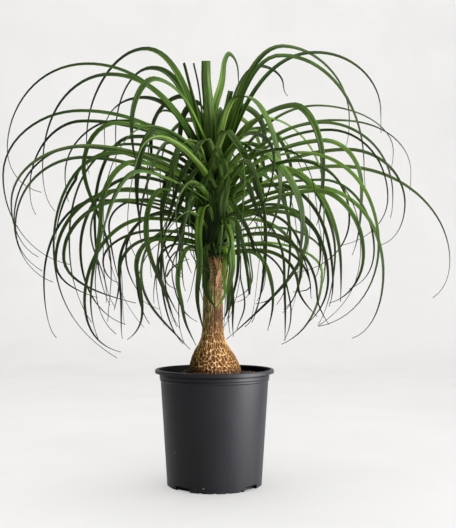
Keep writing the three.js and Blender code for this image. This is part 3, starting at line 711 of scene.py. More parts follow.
def shaded_packed_bases():
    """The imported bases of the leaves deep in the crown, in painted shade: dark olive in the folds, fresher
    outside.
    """
    material, tree, shader = new_material("shaded_packed_leaf_bases")
    place = add_node(tree, "ShaderNodeTexCoord").outputs["Object"]
    upright = add_node(tree, "ShaderNodeMapping", inputs={"Vector": place, "Scale": (1, 1, 0.15)})
    folds = add_node(
        tree, "ShaderNodeTexNoise", inputs={"Vector": upright, "Scale": 1 / (9 * MM), "Detail": 5}
    )
    # Painted shade: the whole core is dark olive, darkest in the hollows of its folds' relief
    shades = add_node(
        tree,
        "ShaderNodeValToRGB",
        inputs={"Fac": folds},
        stops=[(0.35, "#141e0e"), (0.55, "#2b3f19"), (0.75, "#4c662a")],
    )
    tree.links.new(shades.outputs[0], shader.inputs["Base Color"])
    relief = add_node(
        tree, "ShaderNodeBump", inputs={"Strength": 0.8, "Distance": 1.5 * MM, "Height": folds}
    )
    tree.links.new(relief.outputs[0], shader.inputs["Normal"])
    shader.inputs["Roughness"].default_value = 0.7
    shader.inputs["Specular IOR Level"].default_value = 0.15
    return material


def dry_sheath():
    """Dried leaf sheaths: papery tan with brown streaks along them."""
    material, tree, shader = new_material("dry_papery_sheath")
    across_along = add_node(tree, "ShaderNodeUVMap", {"uv_map": "blade"})
    tone = add_node(tree, "ShaderNodeAttribute", {"attribute_name": "tone"}).outputs["Fac"]
    stretched = add_node(
        tree, "ShaderNodeVectorMath", {"operation": "MULTIPLY"}, {0: across_along, 1: (9, 2, 0)}
    )
    own_place = add_node(tree, "ShaderNodeCombineXYZ", inputs={"Z": tone})
    streak_place = add_node(tree, "ShaderNodeVectorMath", {"operation": "ADD"}, {0: stretched, 1: own_place})
    streaks = add_node(tree, "ShaderNodeTexNoise", inputs={"Vector": streak_place, "Scale": 1, "Detail": 4})
    shades = add_node(
        tree,
        "ShaderNodeValToRGB",
        inputs={"Fac": streaks},
        stops=[(0.3, "#6b4a2a"), (0.5, "#a57c4e"), (0.7, "#d2a876")],
    )
    tree.links.new(shades.outputs[0], shader.inputs["Base Color"])
    shader.inputs["Roughness"].default_value = 0.8
    return material


def backdrop_paper():
    """Matt white backdrop paper, faintly uneven."""
    material, tree, shader = new_material("matt_backdrop_paper")
    place = add_node(tree, "ShaderNodeTexCoord").outputs["Object"]
    fibre = add_node(tree, "ShaderNodeTexNoise", inputs={"Vector": place, "Scale": 3, "Detail": 2})
    shades = add_node(
        tree, "ShaderNodeValToRGB", inputs={"Fac": fibre}, stops=[(0.3, "#ecebea"), (0.7, "#f0efee")]
    )
    tree.links.new(shades.outputs[0], shader.inputs["Base Color"])
    shader.inputs["Roughness"].default_value = 1.0
    shader.inputs["Specular IOR Level"].default_value = 0.0
    return material


# The pot


def wall_radius(height):
    """The outer radius of the tapered wall at a height."""
    return mix(BASE_RADIUS, WALL_TOP_RADIUS, height / BEAD_HEIGHT)


def pot_profile():
    """One moulded skin: centre foot, standing ring, tapered wall with a bead, collar and turned-down lip."""
    lip_bottom = RIM_HEIGHT - LIP_DROP
    ledge = RIM_HEIGHT - 2 * WALL
    lower_collar = COLLAR_RADIUS - COLLAR_STEP
    bead = wall_radius(BEAD_HEIGHT) + BEAD_PROUD
    return (
        (0, 0),
        (CENTRE_FOOT_RADIUS, 0),
        (CENTRE_FOOT_RADIUS + FLOOR, FLOOR_RISE),
        (STANDING_RING_INNER - FLOOR, FLOOR_RISE),
        (STANDING_RING_INNER, 0),
        (BASE_RADIUS - EDGE, 0),
        (BASE_RADIUS, EDGE),
        (wall_radius(BEAD_HEIGHT) - WALL_SETBACK, BEAD_HEIGHT - 2 * EDGE),
        (bead, BEAD_HEIGHT - BEAD_LOWER_EDGE),
        (bead, BEAD_HEIGHT + BEAD_UPPER_EDGE),
        (lower_collar - GROOVE, STEP_BOTTOM - STEP_EDGE),
        (lower_collar, STEP_BOTTOM),
        (lower_collar, COLLAR_BOTTOM - WALL),
        (lower_collar - GROOVE / 2, COLLAR_BOTTOM - BY),
        (COLLAR_RADIUS, COLLAR_BOTTOM),
        (COLLAR_RADIUS, ledge),
        (RIM_RADIUS - WALL, ledge),
        (RIM_RADIUS - WALL, lip_bottom),
        (RIM_RADIUS, lip_bottom),
        (RIM_RADIUS, RIM_HEIGHT - EDGE),
        (RIM_RADIUS - EDGE, RIM_HEIGHT),
        (COLLAR_RADIUS + EDGE, RIM_HEIGHT),
        (COLLAR_RADIUS - WALL, RIM_HEIGHT - EDGE - BY),
        (lower_collar - WALL, STEP_BOTTOM),
        (wall_radius(BEAD_HEIGHT) - WALL, BEAD_HEIGHT),
        (wall_radius(0) - WALL, FLOOR + EDGE),
        (BASE_RADIUS - WALL - EDGE, FLOOR),
        (STANDING_RING_INNER + FLOOR, FLOOR),
        (STANDING_RING_INNER, FLOOR + FLOOR_RISE),
        (CENTRE_FOOT_RADIUS, FLOOR + FLOOR_RISE),
        (CENTRE_FOOT_RADIUS - FLOOR, FLOOR),
        (0, FLOOR),
    )


def add_drain_cutter(bm, opening, degrees):
    """Adds a block that cuts one drain opening with rounded upper corners out of the foot of the wall."""
    others = set(bm.verts)
    block = bmesh.ops.create_cube(bm, size=1)["verts"]
    bmesh.ops.scale(bm, vec=(2 * opening["depth"], opening["width"], 2 * opening["height"]), verts=block)
    edges = {edge for vert in block for edge in vert.link_edges}
    upper = [e for e in edges if all(v.co.z > 0 for v in e.verts) and e.verts[0].co.y == e.verts[1].co.y]
    rounding = opening["height"] * DRAIN_ROUNDING
    bmesh.ops.bevel(
        bm, geom=upper, offset=rounding, segments=4, affect="EDGES", profile=0.5, material=-1
    )
    block = [vert for vert in bm.verts if vert not in others]
    turn = Matrix.Rotation(math.radians(degrees), 3, "Z")
    bmesh.ops.translate(bm, vec=(BASE_RADIUS, 0, 0), verts=block)
    bmesh.ops.rotate(bm, cent=(0, 0, 0), matrix=turn, verts=block)


def make_pot():
    """The moulded pot, whose faces towards its axis get the stained inner skin in painted shade."""
    towards_axis = -0.5
    bm = bmesh.new()
    spin_profile(bm, pot_profile(), POT_STEPS)
    for face in bm.faces:
        middle = face.calc_center_median()
        if face.normal.dot(Vector((middle.x, middle.y, 0)).normalized()) < towards_axis:
            face.material_index = 1
    skins = [moulded_polyethylene(), shaded_stained_polyethylene()]
    pot = finish_piece("pot_shell", bm, skins, "pot", "nursery_pot")

    bm = bmesh.new()
    for i in range(DRAIN_SLOT["count"]):
        angle = DRAIN_SLOT["first"] + 360 / DRAIN_SLOT["count"] * i
        add_drain_cutter(bm, DRAIN_SLOT, angle)
        for offset in DRAIN_NOTCH["from_slot"]:
            add_drain_cutter(bm, DRAIN_NOTCH, angle + offset)
    bmesh.ops.scale(bm, vec=(MM, MM, MM), verts=bm.verts)
    block_mesh = bpy.data.meshes.new("drain_cutters")
    bm.to_mesh(block_mesh)
    bm.free()
    cutters = bpy.data.objects.new("drain_cutters", block_mesh)
    bpy.context.scene.collection.objects.link(cutters)

    cut = pot.modifiers.new("drain openings", "BOOLEAN")
    cut.operation = "DIFFERENCE"
    cut.solver = "EXACT"
    cut.object = cutters
    graph = bpy.context.evaluated_depsgraph_get()
    whole = pot.data
    pot.data = bpy.data.meshes.new_from_object(pot.evaluated_get(graph))
    pot.data.name = "pot_shell"
    pot.modifiers.clear()
    bpy.data.meshes.remove(whole)
    bpy.data.objects.remove(cutters)
    bpy.data.meshes.remove(block_mesh)

    rounding = pot.modifiers.new("moulded edges", "BEVEL")
    rounding.width = POT_ROUNDING * MM
    rounding.segments = 2
    rounding.limit_method = "ANGLE"
    rounding.angle_limit = math.radians(ROUNDED_ABOVE)
    rounding.harden_normals = True
    pot.data.set_sharp_from_angle(angle=math.radians(SHARP_ABOVE))


# The potting mix


def soil_top(x, y):
    """The lumpy height of the mix at a place."""
    mound = SOIL_MOUND * (1 - smooth(*MOUND_EDGE, math.hypot(x, y)))
    place = Vector((x / LUMP, y / LUMP, LUMP_SLICE))
    return SOIL_HEIGHT + mound + LUMP_HEIGHT * noise.fractal(place, LUMP_FADE, LUMP_FINER, LUMP_LAYERS)


def make_soil():
    """The mix, with a hole for the trunk. Gives the radius of the hole's mouth and of the mix's edge."""
    mouth = max(radius for height, radius in TRUNK_RADII) + HOLE_GAP
    hole = [(radius + HOLE_GAP, height - GAP) for height, radius in TRUNK_RADII if height < SOIL_HEIGHT]
    inner_collar = COLLAR_RADIUS - COLLAR_STEP - WALL - GAP
    bottom = FLOOR + FLOOR_RISE + GAP
    profile = [
        (0, bottom),
        (STANDING_RING_INNER + GAP, bottom),
        (wall_radius(0) - WALL - BY, bottom),
        (wall_radius(BEAD_HEIGHT) - WALL - BY, BEAD_HEIGHT + GAP),
        (inner_collar, STEP_BOTTOM + BY),
    ]
    profile += [(mix(inner_collar, mouth, i / SOIL_RINGS), SOIL_HEIGHT) for i in range(SOIL_RINGS + 1)]
    profile += [(mouth, SOIL_HEIGHT - HOLE_LIP)] + hole[::-1] + [(0, TRUNK_RADII[0][0] - GAP)]
    bm = bmesh.new()
    spin_profile(bm, profile, SOIL_STEPS)
    for vert in bm.verts:
        radius = math.hypot(vert.co.x, vert.co.y)
        if abs(vert.co.z - SOIL_HEIGHT) < GAP and radius > mouth - GAP:
            settled = smooth(mouth, mouth + SETTLES, radius)
            vert.co.z = mix(SOIL_HEIGHT, soil_top(vert.co.x, vert.co.y), settled)
    finish_piece("potting_mix", bm, [potting_mix()], "soil", "potting_soil")
    return mouth, inner_collar


def scatter_grains(name, material, kind, draw, mouth, edge):
    """Small grains lying on the mix, each turned and stretched its own way."""
    heap = bmesh.new()
    grain_mesh = bpy.data.meshes.new("grain")
    for _ in range(kind["count"]):
        grain = bmesh.new()
        tone = grain.verts.layers.float.new("tone")
        if kind["shape"] == "chip":
            bmesh.ops.create_cube(grain, size=1)
        else:
            bmesh.ops.create_icosphere(grain, subdivisions=1, radius=0.5)
        size = draw.uniform(*kind["size"]) * draw.uniform(*SMALLER)
        radius = math.sqrt(draw.uniform(mouth**2, (edge - size) ** 2))
        angle = draw.uniform(0, math.tau)
        x, y = radius * math.cos(angle), radius * math.sin(angle)
        shade = draw.random()
        for vert in grain.verts:
            vert.co += RAGGED * noise.noise_vector(vert.co * RAGGED_SCALE + Vector((x, y, size)))
            vert[tone] = shade
        stretch = (size, size * draw.uniform(*NARROWER), size * kind["thick"] * draw.uniform(*THINNER))
        heading = Matrix.Rotation(draw.uniform(0, math.tau), 3, "Z")
        tilt = Matrix.Rotation(draw.gauss(0, GRAIN_TILT), 3, "X")
        rest = soil_top(x, y) + stretch[2] * GRAIN_RISE
        bmesh.ops.scale(grain, vec=stretch, verts=grain.verts)
        bmesh.ops.rotate(grain, cent=(0, 0, 0), matrix=heading @ tilt, verts=grain.verts)
        bmesh.ops.translate(grain, vec=(x, y, rest), verts=grain.verts)
        grain.to_mesh(grain_mesh)
        grain.free()
        heap.from_mesh(grain_mesh)
    bpy.data.meshes.remove(grain_mesh)
    return finish_piece(name, heap, [material], "soil")


# The trunk


def coarse_net(angle, height):
    """Staggered upright hollows between ridges, from 0 in a hollow to 1 on a ridge."""
    waves = NET_WAVES
    ridge = NET_RIDGE
    row = height / COARSE_HEIGHT
    turns = COARSE_HOLLOWS * angle / 2
    wander = waves["wander"] * math.sin(waves["swirl"] * row + 2 * math.sin(waves["twist"] * angle))
    upright = abs(math.sin(turns + wander + 0.5 * math.sin(waves["ripple"] * angle + row)))
    across = abs(math.sin(math.pi * row + waves["lean"] * math.sin(turns)))
    saddle = mix(ridge["saddle"], 1, smooth(ridge["from"], ridge["tall"], across))
    return 1 - smooth(ridge["from"], ridge["wide"], upright) * saddle


def hollow_middles(draw):
    """One hollow somewhere in each square of a grid that is wrapped round the trunk, as [row][column]."""
    return [
        [
            (column + draw.uniform(*HOLLOW_SCATTER), row + draw.uniform(*HOLLOW_SCATTER))
            for column in range(HOLLOWS)
        ]
        for row in range(HOLLOW_ROWS)
    ]


def fine_net(middles, angle, point):
    """Narrow corky ridges halfway between neighbouring hollows, which grow long on the neck: 1 on a ridge."""
    warp = noise.noise_vector(point / FINE_WARP["size"])
    across = (HOLLOWS * angle / math.tau + FINE_WARP["across"] * warp.x) % HOLLOWS
    up = between(HOLLOW_HEIGHTS, point.z) + FINE_WARP["up"] * warp.z
    distances = []
    for row in range(int(up) - 1, int(up) + 2):
        for column in range(int(across) - 1, int(across) + 2):
            x, y = middles[row][column % HOLLOWS]
            aside = (x - across + HOLLOWS / 2) % HOLLOWS - HOLLOWS / 2
            distances.append(math.hypot(aside, HOLLOW_SQUAT * (y - up)))
    distances.sort()
    breadth = FINE_RIDGE["to"] + FINE_RIDGE["varies"] * noise.noise(point / FINE_RIDGE["size"])
    return 1 - smooth(FINE_RIDGE["from"], breadth, distances[1] - distances[0])


def make_trunk():
    """The bulb and the neck in one piece, with the bark's relief and its leaf scars."""
    bottom = TRUNK_RADII[0][0]
    top = TRUNK_RADII[-1][0]
    rows = round((top - bottom) / TRUNK_ROW)
    heights = [mix(bottom, top, i / rows) for i in range(rows + 1)]
    profile = [(0, bottom)] + [(between(TRUNK_RADII, height), height) for height in heights] + [(0, top)]
    bm = bmesh.new()
    spin_profile(bm, profile, TRUNK_STEPS)
    plate = bm.verts.layers.float.new("plate")
    neck_share = bm.verts.layers.float.new("neck")
    middles = hollow_middles(random.Random(BARK_SEED))
    for vert in bm.verts:
        point = vert.co.copy()
        radius = math.hypot(point.x, point.y)
        neck = smooth(*NECK, point.z)
        vert[neck_share] = neck
        if radius < BY:
            vert[plate] = 0.5
        else:
            angle = math.atan2(point.y, point.x)
            fine = within(FINE_SHARE, neck) * fine_net(middles, angle, point)
            net = fine + within(COARSE_SHARE, neck) * coarse_net(angle, point.z)
            crumble = noise.fractal(
                point / CRUMBLE["size"], CRUMBLE["fade"], CRUMBLE["finer"], CRUMBLE["layers"]
            )
            depth = within(BARK_DEPTH, neck) * smooth(*CLEAR_OF_MIX, point.z)
            scars = smooth(*SCARS, point.z)
            wave = SCAR["wave"] * math.sin(2 * angle) + SCAR["ragged"] * crumble
            ring = abs(math.sin(math.pi * (point.z + wave) / SCAR["pitch"]))
            net = mix(net, smooth(0, SCAR["edge"], ring), SCAR["share"] * scars)
            depth = mix(depth, SCAR["depth"], scars)
            from_seam = (angle - SEAM_ANGLE) * radius / SEAM_WIDTH
            seam = math.exp(-(from_seam**2)) * smooth(*SEAM_FROM, point.z)
            net *= 1 - seam * (1 - scars)
            vert[plate] = net
            relief = depth * (net - 1) + CRUMBLE["depth"] * crumble - SEAM_WIDTH * seam
            pull_in(vert, (radius + relief) / radius)
        vert.co.x += TRUNK_LEAN * smooth(*LEAN, point.z)
    finish_piece("corky_trunk", bm, [corky_bark()], "bark", "trunk")


# The leaves


def listed(azimuth, root, apex, shoulder, tip, width, tone, **more):
    """A leaf read from the plant, with its azimuth in degrees from +X and its tone from deep to fresh green.

    The apex, the shoulder and the tip are the reach and height of its arch's highest point, of its widest
    point and of its end. It may have a roll at its root and from there to its tip, bends below its shoulder,
    a sway to its sides, and a blunt tip.
    """
    leaf = {"azimuth": azimuth, "root": root, "apex": apex, "shoulder": shoulder, "tip": tip}
    return {**leaf, "width": width, "tone": tone, **more}


# Leaves at the front show their flat face, and some at the two sides are turned a part of the way towards it
FACING = (4, 14)
OPEN_LEFT = (-48, -14)
OPEN_RIGHT = (48, 14)
ARCHES = [
    listed(168, 625, (150, 876), (270, 670), (265, 620), 17, 0.25, roll=OPEN_LEFT),
    listed(180, 620, (255, 835), (415, 665), (345, 575), 12, 0.15),
    listed(184, 610, (265, 735), (415, 605), (285, 430), 14, 0.2, roll=OPEN_LEFT),
    listed(174, 615, (220, 820), (355, 635), (325, 540), 17, 0.3, roll=OPEN_LEFT),
    listed(187, 544, (270, 660), (390, 515), (315, 395), 9, 0.1),
    listed(194, 539, (255, 635), (385, 500), (335, 415), 9, 0.2),
    listed(150, 630, (165, 850), (245, 705), (245, 640), 16, 0.35, roll=OPEN_LEFT),
    listed(218, 635, (140, 780), (195, 680), (180, 610), 15, 0.55, roll=OPEN_LEFT),
    listed(145, 615, (210, 795), (295, 725), (295, 665), 12, 0.2, roll=OPEN_LEFT),
    listed(200, 592, (195, 700), (262, 612), (215, 320), 14, 0.35,
           roll=OPEN_LEFT, bends=[(262, 545), (190, 475), (212, 405)]),
    listed(196, 544, (200, 645), (315, 465), (195, 250), 11, 0.35, roll=OPEN_LEFT),
    listed(190, 500, (175, 575), (310, 435), (230, 365), 12, 0.5, roll=OPEN_LEFT),
    listed(205, 490, (175, 550), (305, 440), (165, 355), 10, 0.25),
    listed(178, 500, (240, 560), (340, 400), (315, 285), 9, 0.15),
    listed(172, 625, (275, 725), (385, 600), (370, 535), 8, 0.1),
    listed(166, 625, (215, 730), (320, 615), (315, 565), 8, 0.1),
    listed(212, 560, (175, 620), (245, 505), (250, 290), 12, 0.5,
           roll=OPEN_LEFT, bends=[(250, 450), (285, 370)]),
    listed(198, 535, (175, 575), (247, 490), (217, 355), 8, 0.2, bends=[(247, 440), (212, 415)]),
    listed(192, 500, (130, 520), (255, 357), (185, 260), 10, 0.55, roll=OPEN_LEFT, bends=[(252, 277)]),
    listed(184, 482, (112, 498), (220, 437), (190, 395), 7, 0.15),
    listed(205, 470, (118, 480), (198, 415), (208, 342), 8, 0.2, bends=[(198, 378)]),
    listed(225, 545, (135, 568), (177, 495), (100, 310), 11, 0.3, bends=[(177, 450), (147, 377)]),
    listed(212, 462, (126, 476), (172, 422), (192, 287), 10, 0.15, bends=[(172, 377), (130, 320)]),
    listed(200, 468, (96, 494), (149, 410), (51, 264), 10, 0.1, bends=[(149, 359), (117, 328)]),
    listed(222, 450, (64, 462), (93, 395), (50, 272), 10, 0.35, bends=[(93, 357), (68, 320)]),
    listed(198, 456, (75, 470), (115, 428), (72, 328), 6, 0.1, bends=[(115, 397)]),
    listed(190, 448, (63, 460), (98, 405), (76, 382), 6, 0.1),
    listed(170, 505, (152, 564), (219, 508), (195, 395), 7, 0.15, bends=[(218, 464)]),
    listed(158, 480, (124, 536), (197, 466), (164, 369), 7, 0.1, bends=[(197, 414)]),
    listed(188, 585, (170, 650), (273, 595), (311, 478), 11, 0.35, roll=OPEN_LEFT, bends=[(306, 545)]),
    listed(215, 615, (133, 685), (174, 604), (172, 500), 15, 0.12, roll=OPEN_LEFT),
    listed(165, 500, (112, 536), (203, 410), (194, 282), 10, 0.2),
    listed(8, 630, (140, 876), (280, 740), (270, 670), 15, 0.35, roll=OPEN_RIGHT),
    listed(355, 625, (195, 855), (330, 735), (330, 690), 13, 0.25, roll=OPEN_RIGHT),
    listed(350, 620, (130, 845), (295, 625), (300, 560), 16, 0.3, roll=OPEN_RIGHT),
    listed(20, 640, (103, 842), (152, 808), (161, 784), 10, 0.2),
    listed(330, 615, (170, 730), (230, 620), (220, 500), 17, 0.5, roll=OPEN_RIGHT),
    listed(10, 592, (225, 760), (380, 675), (365, 620), 10, 0.3),
    listed(20, 587, (305, 745), (460, 645), (455, 600), 8, 0.15),
    listed(352, 582, (215, 710), (350, 565), (345, 520), 10, 0.3, roll=OPEN_RIGHT),
    listed(345, 582, (225, 690), (340, 555), (250, 465), 10, 0.1),
    listed(358, 549, (265, 660), (380, 555), (330, 470), 9, 0.3),
    listed(2, 534, (250, 630), (476, 445), (440, 365), 11, 0.5),
    listed(335, 524, (200, 575), (340, 410), (280, 290), 11, 0.6, roll=OPEN_RIGHT),
    listed(322, 510, (230, 560), (330, 440), (260, 355), 12, 0.8, roll=OPEN_RIGHT),
    listed(340, 572, (220, 665), (295, 570), (275, 445), 13, 0.7, roll=OPEN_RIGHT),
    listed(325, 585, (140, 612), (278, 412), (276, 357), 11, 0.9, roll=OPEN_RIGHT),
    listed(335, 545, (128, 583), (244, 400), (236, 348), 10, 0.35),
    listed(345, 520, (132, 541), (226, 401), (185, 315), 9, 0.3, bends=[(226, 351)]),
    listed(350, 560, (212, 596), (313, 459), (265, 382), 7, 0.15, bends=[(312, 401)]),
    listed(335, 530, (118, 545), (192, 479), (25, 283), 9, 0.1, bends=[(188, 415), (101, 340)]),
    listed(350, 508, (120, 535), (210, 460), (200, 405), 9, 0.4),
    listed(8, 490, (122, 507), (227, 439), (219, 389), 7, 0.2),
    listed(356, 472, (90, 491), (203, 371), (226, 312), 8, 0.35, bends=[(203, 347)]),
    listed(352, 462, (94, 470), (190, 382), (191, 363), 7, 0.2),
    listed(340, 452, (88, 458), (171, 386), (208, 329), 8, 0.4, bends=[(171, 363)]),
    listed(330, 452, (83, 456), (164, 340), (153, 284), 9, 0.2, bends=[(163, 303)]),
    listed(318, 450, (88, 452), (148, 351), (132, 303), 8, 0.4, bends=[(148, 329)]),
    listed(305, 450, (76, 450), (94, 381), (75, 304), 8, 0.2, bends=[(93, 348)]),
    listed(296, 448, (58, 448), (80, 353), (80, 291), 10, 0.4),
    listed(330, 500, (70, 530), (152, 410), (155, 284), 10, 0.45),
    listed(315, 640, (62, 757), (168, 598), (126, 466), 17, 0.55, roll=FACING, bends=[(170, 519)]),
    listed(308, 560, (108, 643), (246, 476), (245, 429), 22, 0.7, roll=FACING),
    listed(262, 492, (50, 672), (86, 560), (88, 470), 17, 0.9, roll=FACING, sway=(10, 10, -110, -84)),
    listed(264, 520, (50, 655), (70, 600), (62, 515), 11, 0.8, roll=FACING, sway=(-24, -60, 120, -40)),
    listed(232, 560, (62, 668), (128, 600), (138, 520), 12, 0.9, roll=FACING),
    listed(228, 560, (66, 650), (118, 622), (140, 594), 8, 0.85, roll=FACING),
    listed(252, 500, (62, 540), (96, 480), (66, 300), 17, 0.8, roll=FACING),
    listed(292, 470, (52, 508), (83, 445), (42, 320), 14, 0.7, roll=FACING),
    listed(258, 456, (44, 472), (72, 434), (62, 392), 11, 0.3, roll=FACING),
    listed(243, 450, (34, 462), (46, 420), (42, 345), 24, 0.15, roll=FACING, sway=(-4, -6, 22), blunt=True),
    listed(290, 453, (38, 466), (52, 420), (42, 345), 10, 1.0, roll=FACING, sway=(0, 14, -12), blunt=True),
    listed(268, 470, (48, 560), (70, 500), (60, 440), 14, 0.4, roll=FACING, sway=(0, 10, 60, 85)),
    listed(272, 482, (48, 572), (72, 515), (66, 440), 14, 0.3, roll=FACING, sway=(0, -10, -60, -95)),
    listed(258, 530, (45, 622), (80, 560), (80, 480), 15, 0.3, roll=FACING, sway=(10, 10, -50, -85)),
    listed(281, 540, (46, 628), (80, 570), (84, 490), 15, 0.5, roll=FACING, sway=(-10, 0, 60, 95)),
    listed(262, 588, (42, 672), (92, 600), (98, 510), 15, 0.3, roll=FACING, sway=(8, 10, -60, -75)),
    listed(279, 596, (44, 690), (90, 612), (98, 520), 16, 0.4, roll=FACING, sway=(-8, -10, 70, 85)),
    listed(285, 600, (40, 642), (64, 590), (50, 468), 21, 0.5, roll=FACING),
    listed(254, 588, (38, 628), (60, 570), (52, 452), 18, 0.15, roll=FACING),
    listed(272, 548, (36, 578), (54, 530), (48, 438), 17, 0.1, roll=FACING),
    listed(238, 522, (40, 550), (64, 500), (60, 412), 13, 0.15, roll=FACING),
    listed(302, 515, (40, 545), (62, 498), (56, 424), 13, 0.45, roll=FACING),
    listed(100, 647, (42, 770), (95, 700), (100, 600), 16, 0.3),
    listed(132, 643, (55, 765), (112, 690), (122, 590), 15, 0.4),
    listed(75, 641, (60, 755), (120, 670), (125, 570), 15, 0.25),
    listed(152, 637, (80, 778), (152, 690), (162, 610), 15, 0.5),
    listed(38, 643, (70, 760), (138, 690), (150, 600), 14, 0.3),
    listed(60, 650, (68, 874), (100, 845), (102, 812), 17, 1.0, sway=(22, 14, 0, 0)),
]

# Upright young leaves with cut ends, at the middle of the crown
SPEARS = [
    dict(azimuth=195, root=630, lean=(10, 730), tip=(18, 840), width=26, roll=(80, 10), tone=0.3),
    dict(azimuth=172, root=630, lean=(24, 740), tip=(44, 838), width=12, roll=(20, 5), tone=0.1),
    dict(azimuth=186, root=628, lean=(34, 735), tip=(63, 835), width=11, roll=(28, 4), tone=0.1),
    dict(azimuth=350, root=648, lean=(14, 710), tip=(33, 779), width=16, roll=(70, 10), tone=0.2),
    dict(azimuth=12, root=642, lean=(42, 700), tip=(70, 811), width=10, roll=(40, 10), tone=0.2),
]

# Leaves by rule: low ones hang close to the trunk, middle ones arch wide and high ones stand before they
# bend. The ranges are for the width, how far out the arch's highest point is and how high over the root, how
# far past it the widest point is and how far below, and how far the tip curls back in
RULE_SEED = 11
RULE_LEAVES = 40
GOLDEN_ANGLE = 137.508
LOW_SHARE = 0.42
HIGH_SHARE = 0.84
LOWEST_ROOT = CROWN_BASE + 8
HIGHEST_ROOT = CROWN_BASE + 200
LOW = {
    "width": (6, 9), "reach": (62, 130), "rise": (12, 60), "past": (45, 140), "below": (25, 100),
    "curl": (15, 100),
}
MIDDLE = {
    "width": (7.5, 12), "reach": (115, 205), "rise": (25, 105), "past": (75, 150), "below": (110, 180),
    "curl": (20, 115),
}
HIGH = {
    "width": (10, 14), "reach": (90, 200), "rise": (60, 150), "past": (70, 130), "below": (100, 180),
    "curl": (0, 50),
}
LOW_DROP = 135
MIDDLE_DROP = (90, 210)
HIGH_DROP = (60, 170)
LEAST_CURL = 0.35
ROOT_ROLL = (14, 40)
ALONG_ROLL = (20, 80)
AZIMUTH_JITTER = 16
SWAY = 100

# Leaves over the plant's front part to each side of the trunk, rise less and end above it
FRONT = 270
FRONT_PARTING = 16
FRONT_SPREAD = 42
FRONT_LIFT = 120
FRONT_RISE = 0.5625
MIDDLE_LIFT = 0.4
LOWEST_TIP = 256
MIDDLE_TIPS = 60

# The listed leaves fill the two sides, so those by rule turn from there and reach further to front and back
SIDE_TURN = 11.5
DEPTH_REACH = 0.45

# Slimmer leaves with a shorter reach fill the crown between those
FILL_SEED = 8
FILL_LEAVES = 30
FILL_WIDTH = (0.7, 1)
FILL_REACH = (0.42, 0.8)

# Most leaves by rule are a deep green, and each leaf hangs straighter or more hooked
TONE_SEED = 5
FRESHEST_TONE = 0.9
TONE_POWER = 1.8
HOOKS = (0.2, 0.9)

# Dry remains of old leaves round the trunk's head, each drawn from these ranges
SHEATHS = 12
SHEATH_BOW = 2
SHEATH_THICKNESS = 0.5
SHEATH = {
    "azimuth": (-14, 14), "root": (0, 6), "reach": (21, 24), "lean": (0, 12), "tip": (22, 78),
    "width": (7, 13), "roll": (-50, 50), "sway": (-7, 7),
}


def make_draw(seed):
    """A repeatable draw between 0 and 1."""
    state = seed

    def draw():
        nonlocal state
        state = (state * 1664525 + 1013904223) % 2**32
        return state / 2**32

    return draw


def roll_draw(draw):
    """How far a leaf rolls about its own length, in degrees: at its root, and from there to its tip."""
    side = -1 if draw() < 0.5 else 1
    return side * within(ROOT_ROLL, draw()), side * within(ALONG_ROLL, draw())


def rule_leaf(order, count, draw):
    """A leaf whose place in the crown gives its kind, and whose draws vary it."""
    level = (order + 0.5) / count
    root = mix(LOWEST_ROOT, HIGHEST_ROOT, level)
    around = GOLDEN_ANGLE * order + AZIMUTH_JITTER * (draw() - 0.5)
    azimuth = (around + SIDE_TURN * math.sin(2 * math.radians(around))) % 360
    if level >= HIGH_SHARE and azimuth > 180:
        azimuth = 360 - azimuth
    aside = azimuth - FRONT
    if abs(aside) < FRONT_PARTING:
        azimuth = FRONT + math.copysign(FRONT_PARTING, aside)
    facing = math.sin(math.radians(azimuth))
    lift = FRONT_LIFT * max(0, 1 - abs(aside) / FRONT_SPREAD)
    out, up, over, down, curl, broad = [draw() for _ in range(6)]
    sway = (0, 0, SWAY * (draw() - 0.5))
    roll = roll_draw(draw)
    if level < LOW_SHARE:
        kind = LOW
        wide = 1
        rise = up
    elif level < HIGH_SHARE:
        kind = MIDDLE
        wide = 1 + DEPTH_REACH * abs(facing)
        rise = mix(1, FRONT_RISE, max(0, -facing)) * up
    else:
        kind = HIGH
        wide = 1 + DEPTH_REACH * facing
        rise = up
    apex = (within(kind["reach"], out) * wide, root + within(kind["rise"], rise))
    bends_at = root if kind is LOW else apex[1]
    shoulder = (apex[0] + within(kind["past"], over) * wide, bends_at - within(kind["below"], down))
    curled = within(kind["curl"], curl)
    if kind is LOW:
        curled *= mix(LEAST_CURL, 1, over)
        tip_height = LOWEST_TIP + lift + LOW_DROP * down
    elif kind is MIDDLE:
        drop = within(MIDDLE_DROP, down) - MIDDLE_LIFT * lift
        tip_height = max(LOWEST_TIP + MIDDLE_TIPS * down, shoulder[1] - drop)
    else:
        tip_height = shoulder[1] - within(HIGH_DROP, down)
    return {
        "azimuth": azimuth, "root": root, "apex": apex, "shoulder": shoulder,
        "tip": (shoulder[0] - curled, tip_height), "width": within(kind["width"], broad),
        "sway": sway, "roll": roll, "level": level,
    }


def fill_leaf(order, draw):
    """A slimmer leaf with a shorter reach, between the others."""
    leaf = rule_leaf(order, FILL_LEAVES, draw)
    leaf["width"] *= within(FILL_WIDTH, draw())
    near = within(FILL_REACH, draw())
    for name in ("apex", "shoulder", "tip"):
        leaf[name] = (leaf[name][0] * near, leaf[name][1])
    return leaf


def crown_radius(height):
    """The radius of the bunch of leaf bases at a height."""
    rise = min(max(height - CROWN_BASE, 0), CROWN_RADII[-1][0])
    above = 1
    while above < len(CROWN_RADII) - 1 and CROWN_RADII[above][0] < rise:
        above += 1
    (low, a), (high, b) = CROWN_RADII[above - 1], CROWN_RADII[above]
    return mix(a, b, (rise - low) / (high - low))


def bezier(points, share):
    """A point, or a plain number, on a Bezier curve of any order."""
    while len(points) > 1:
        points = [a + (b - a) * share for a, b in zip(points, points[1:])]
    return points[0]


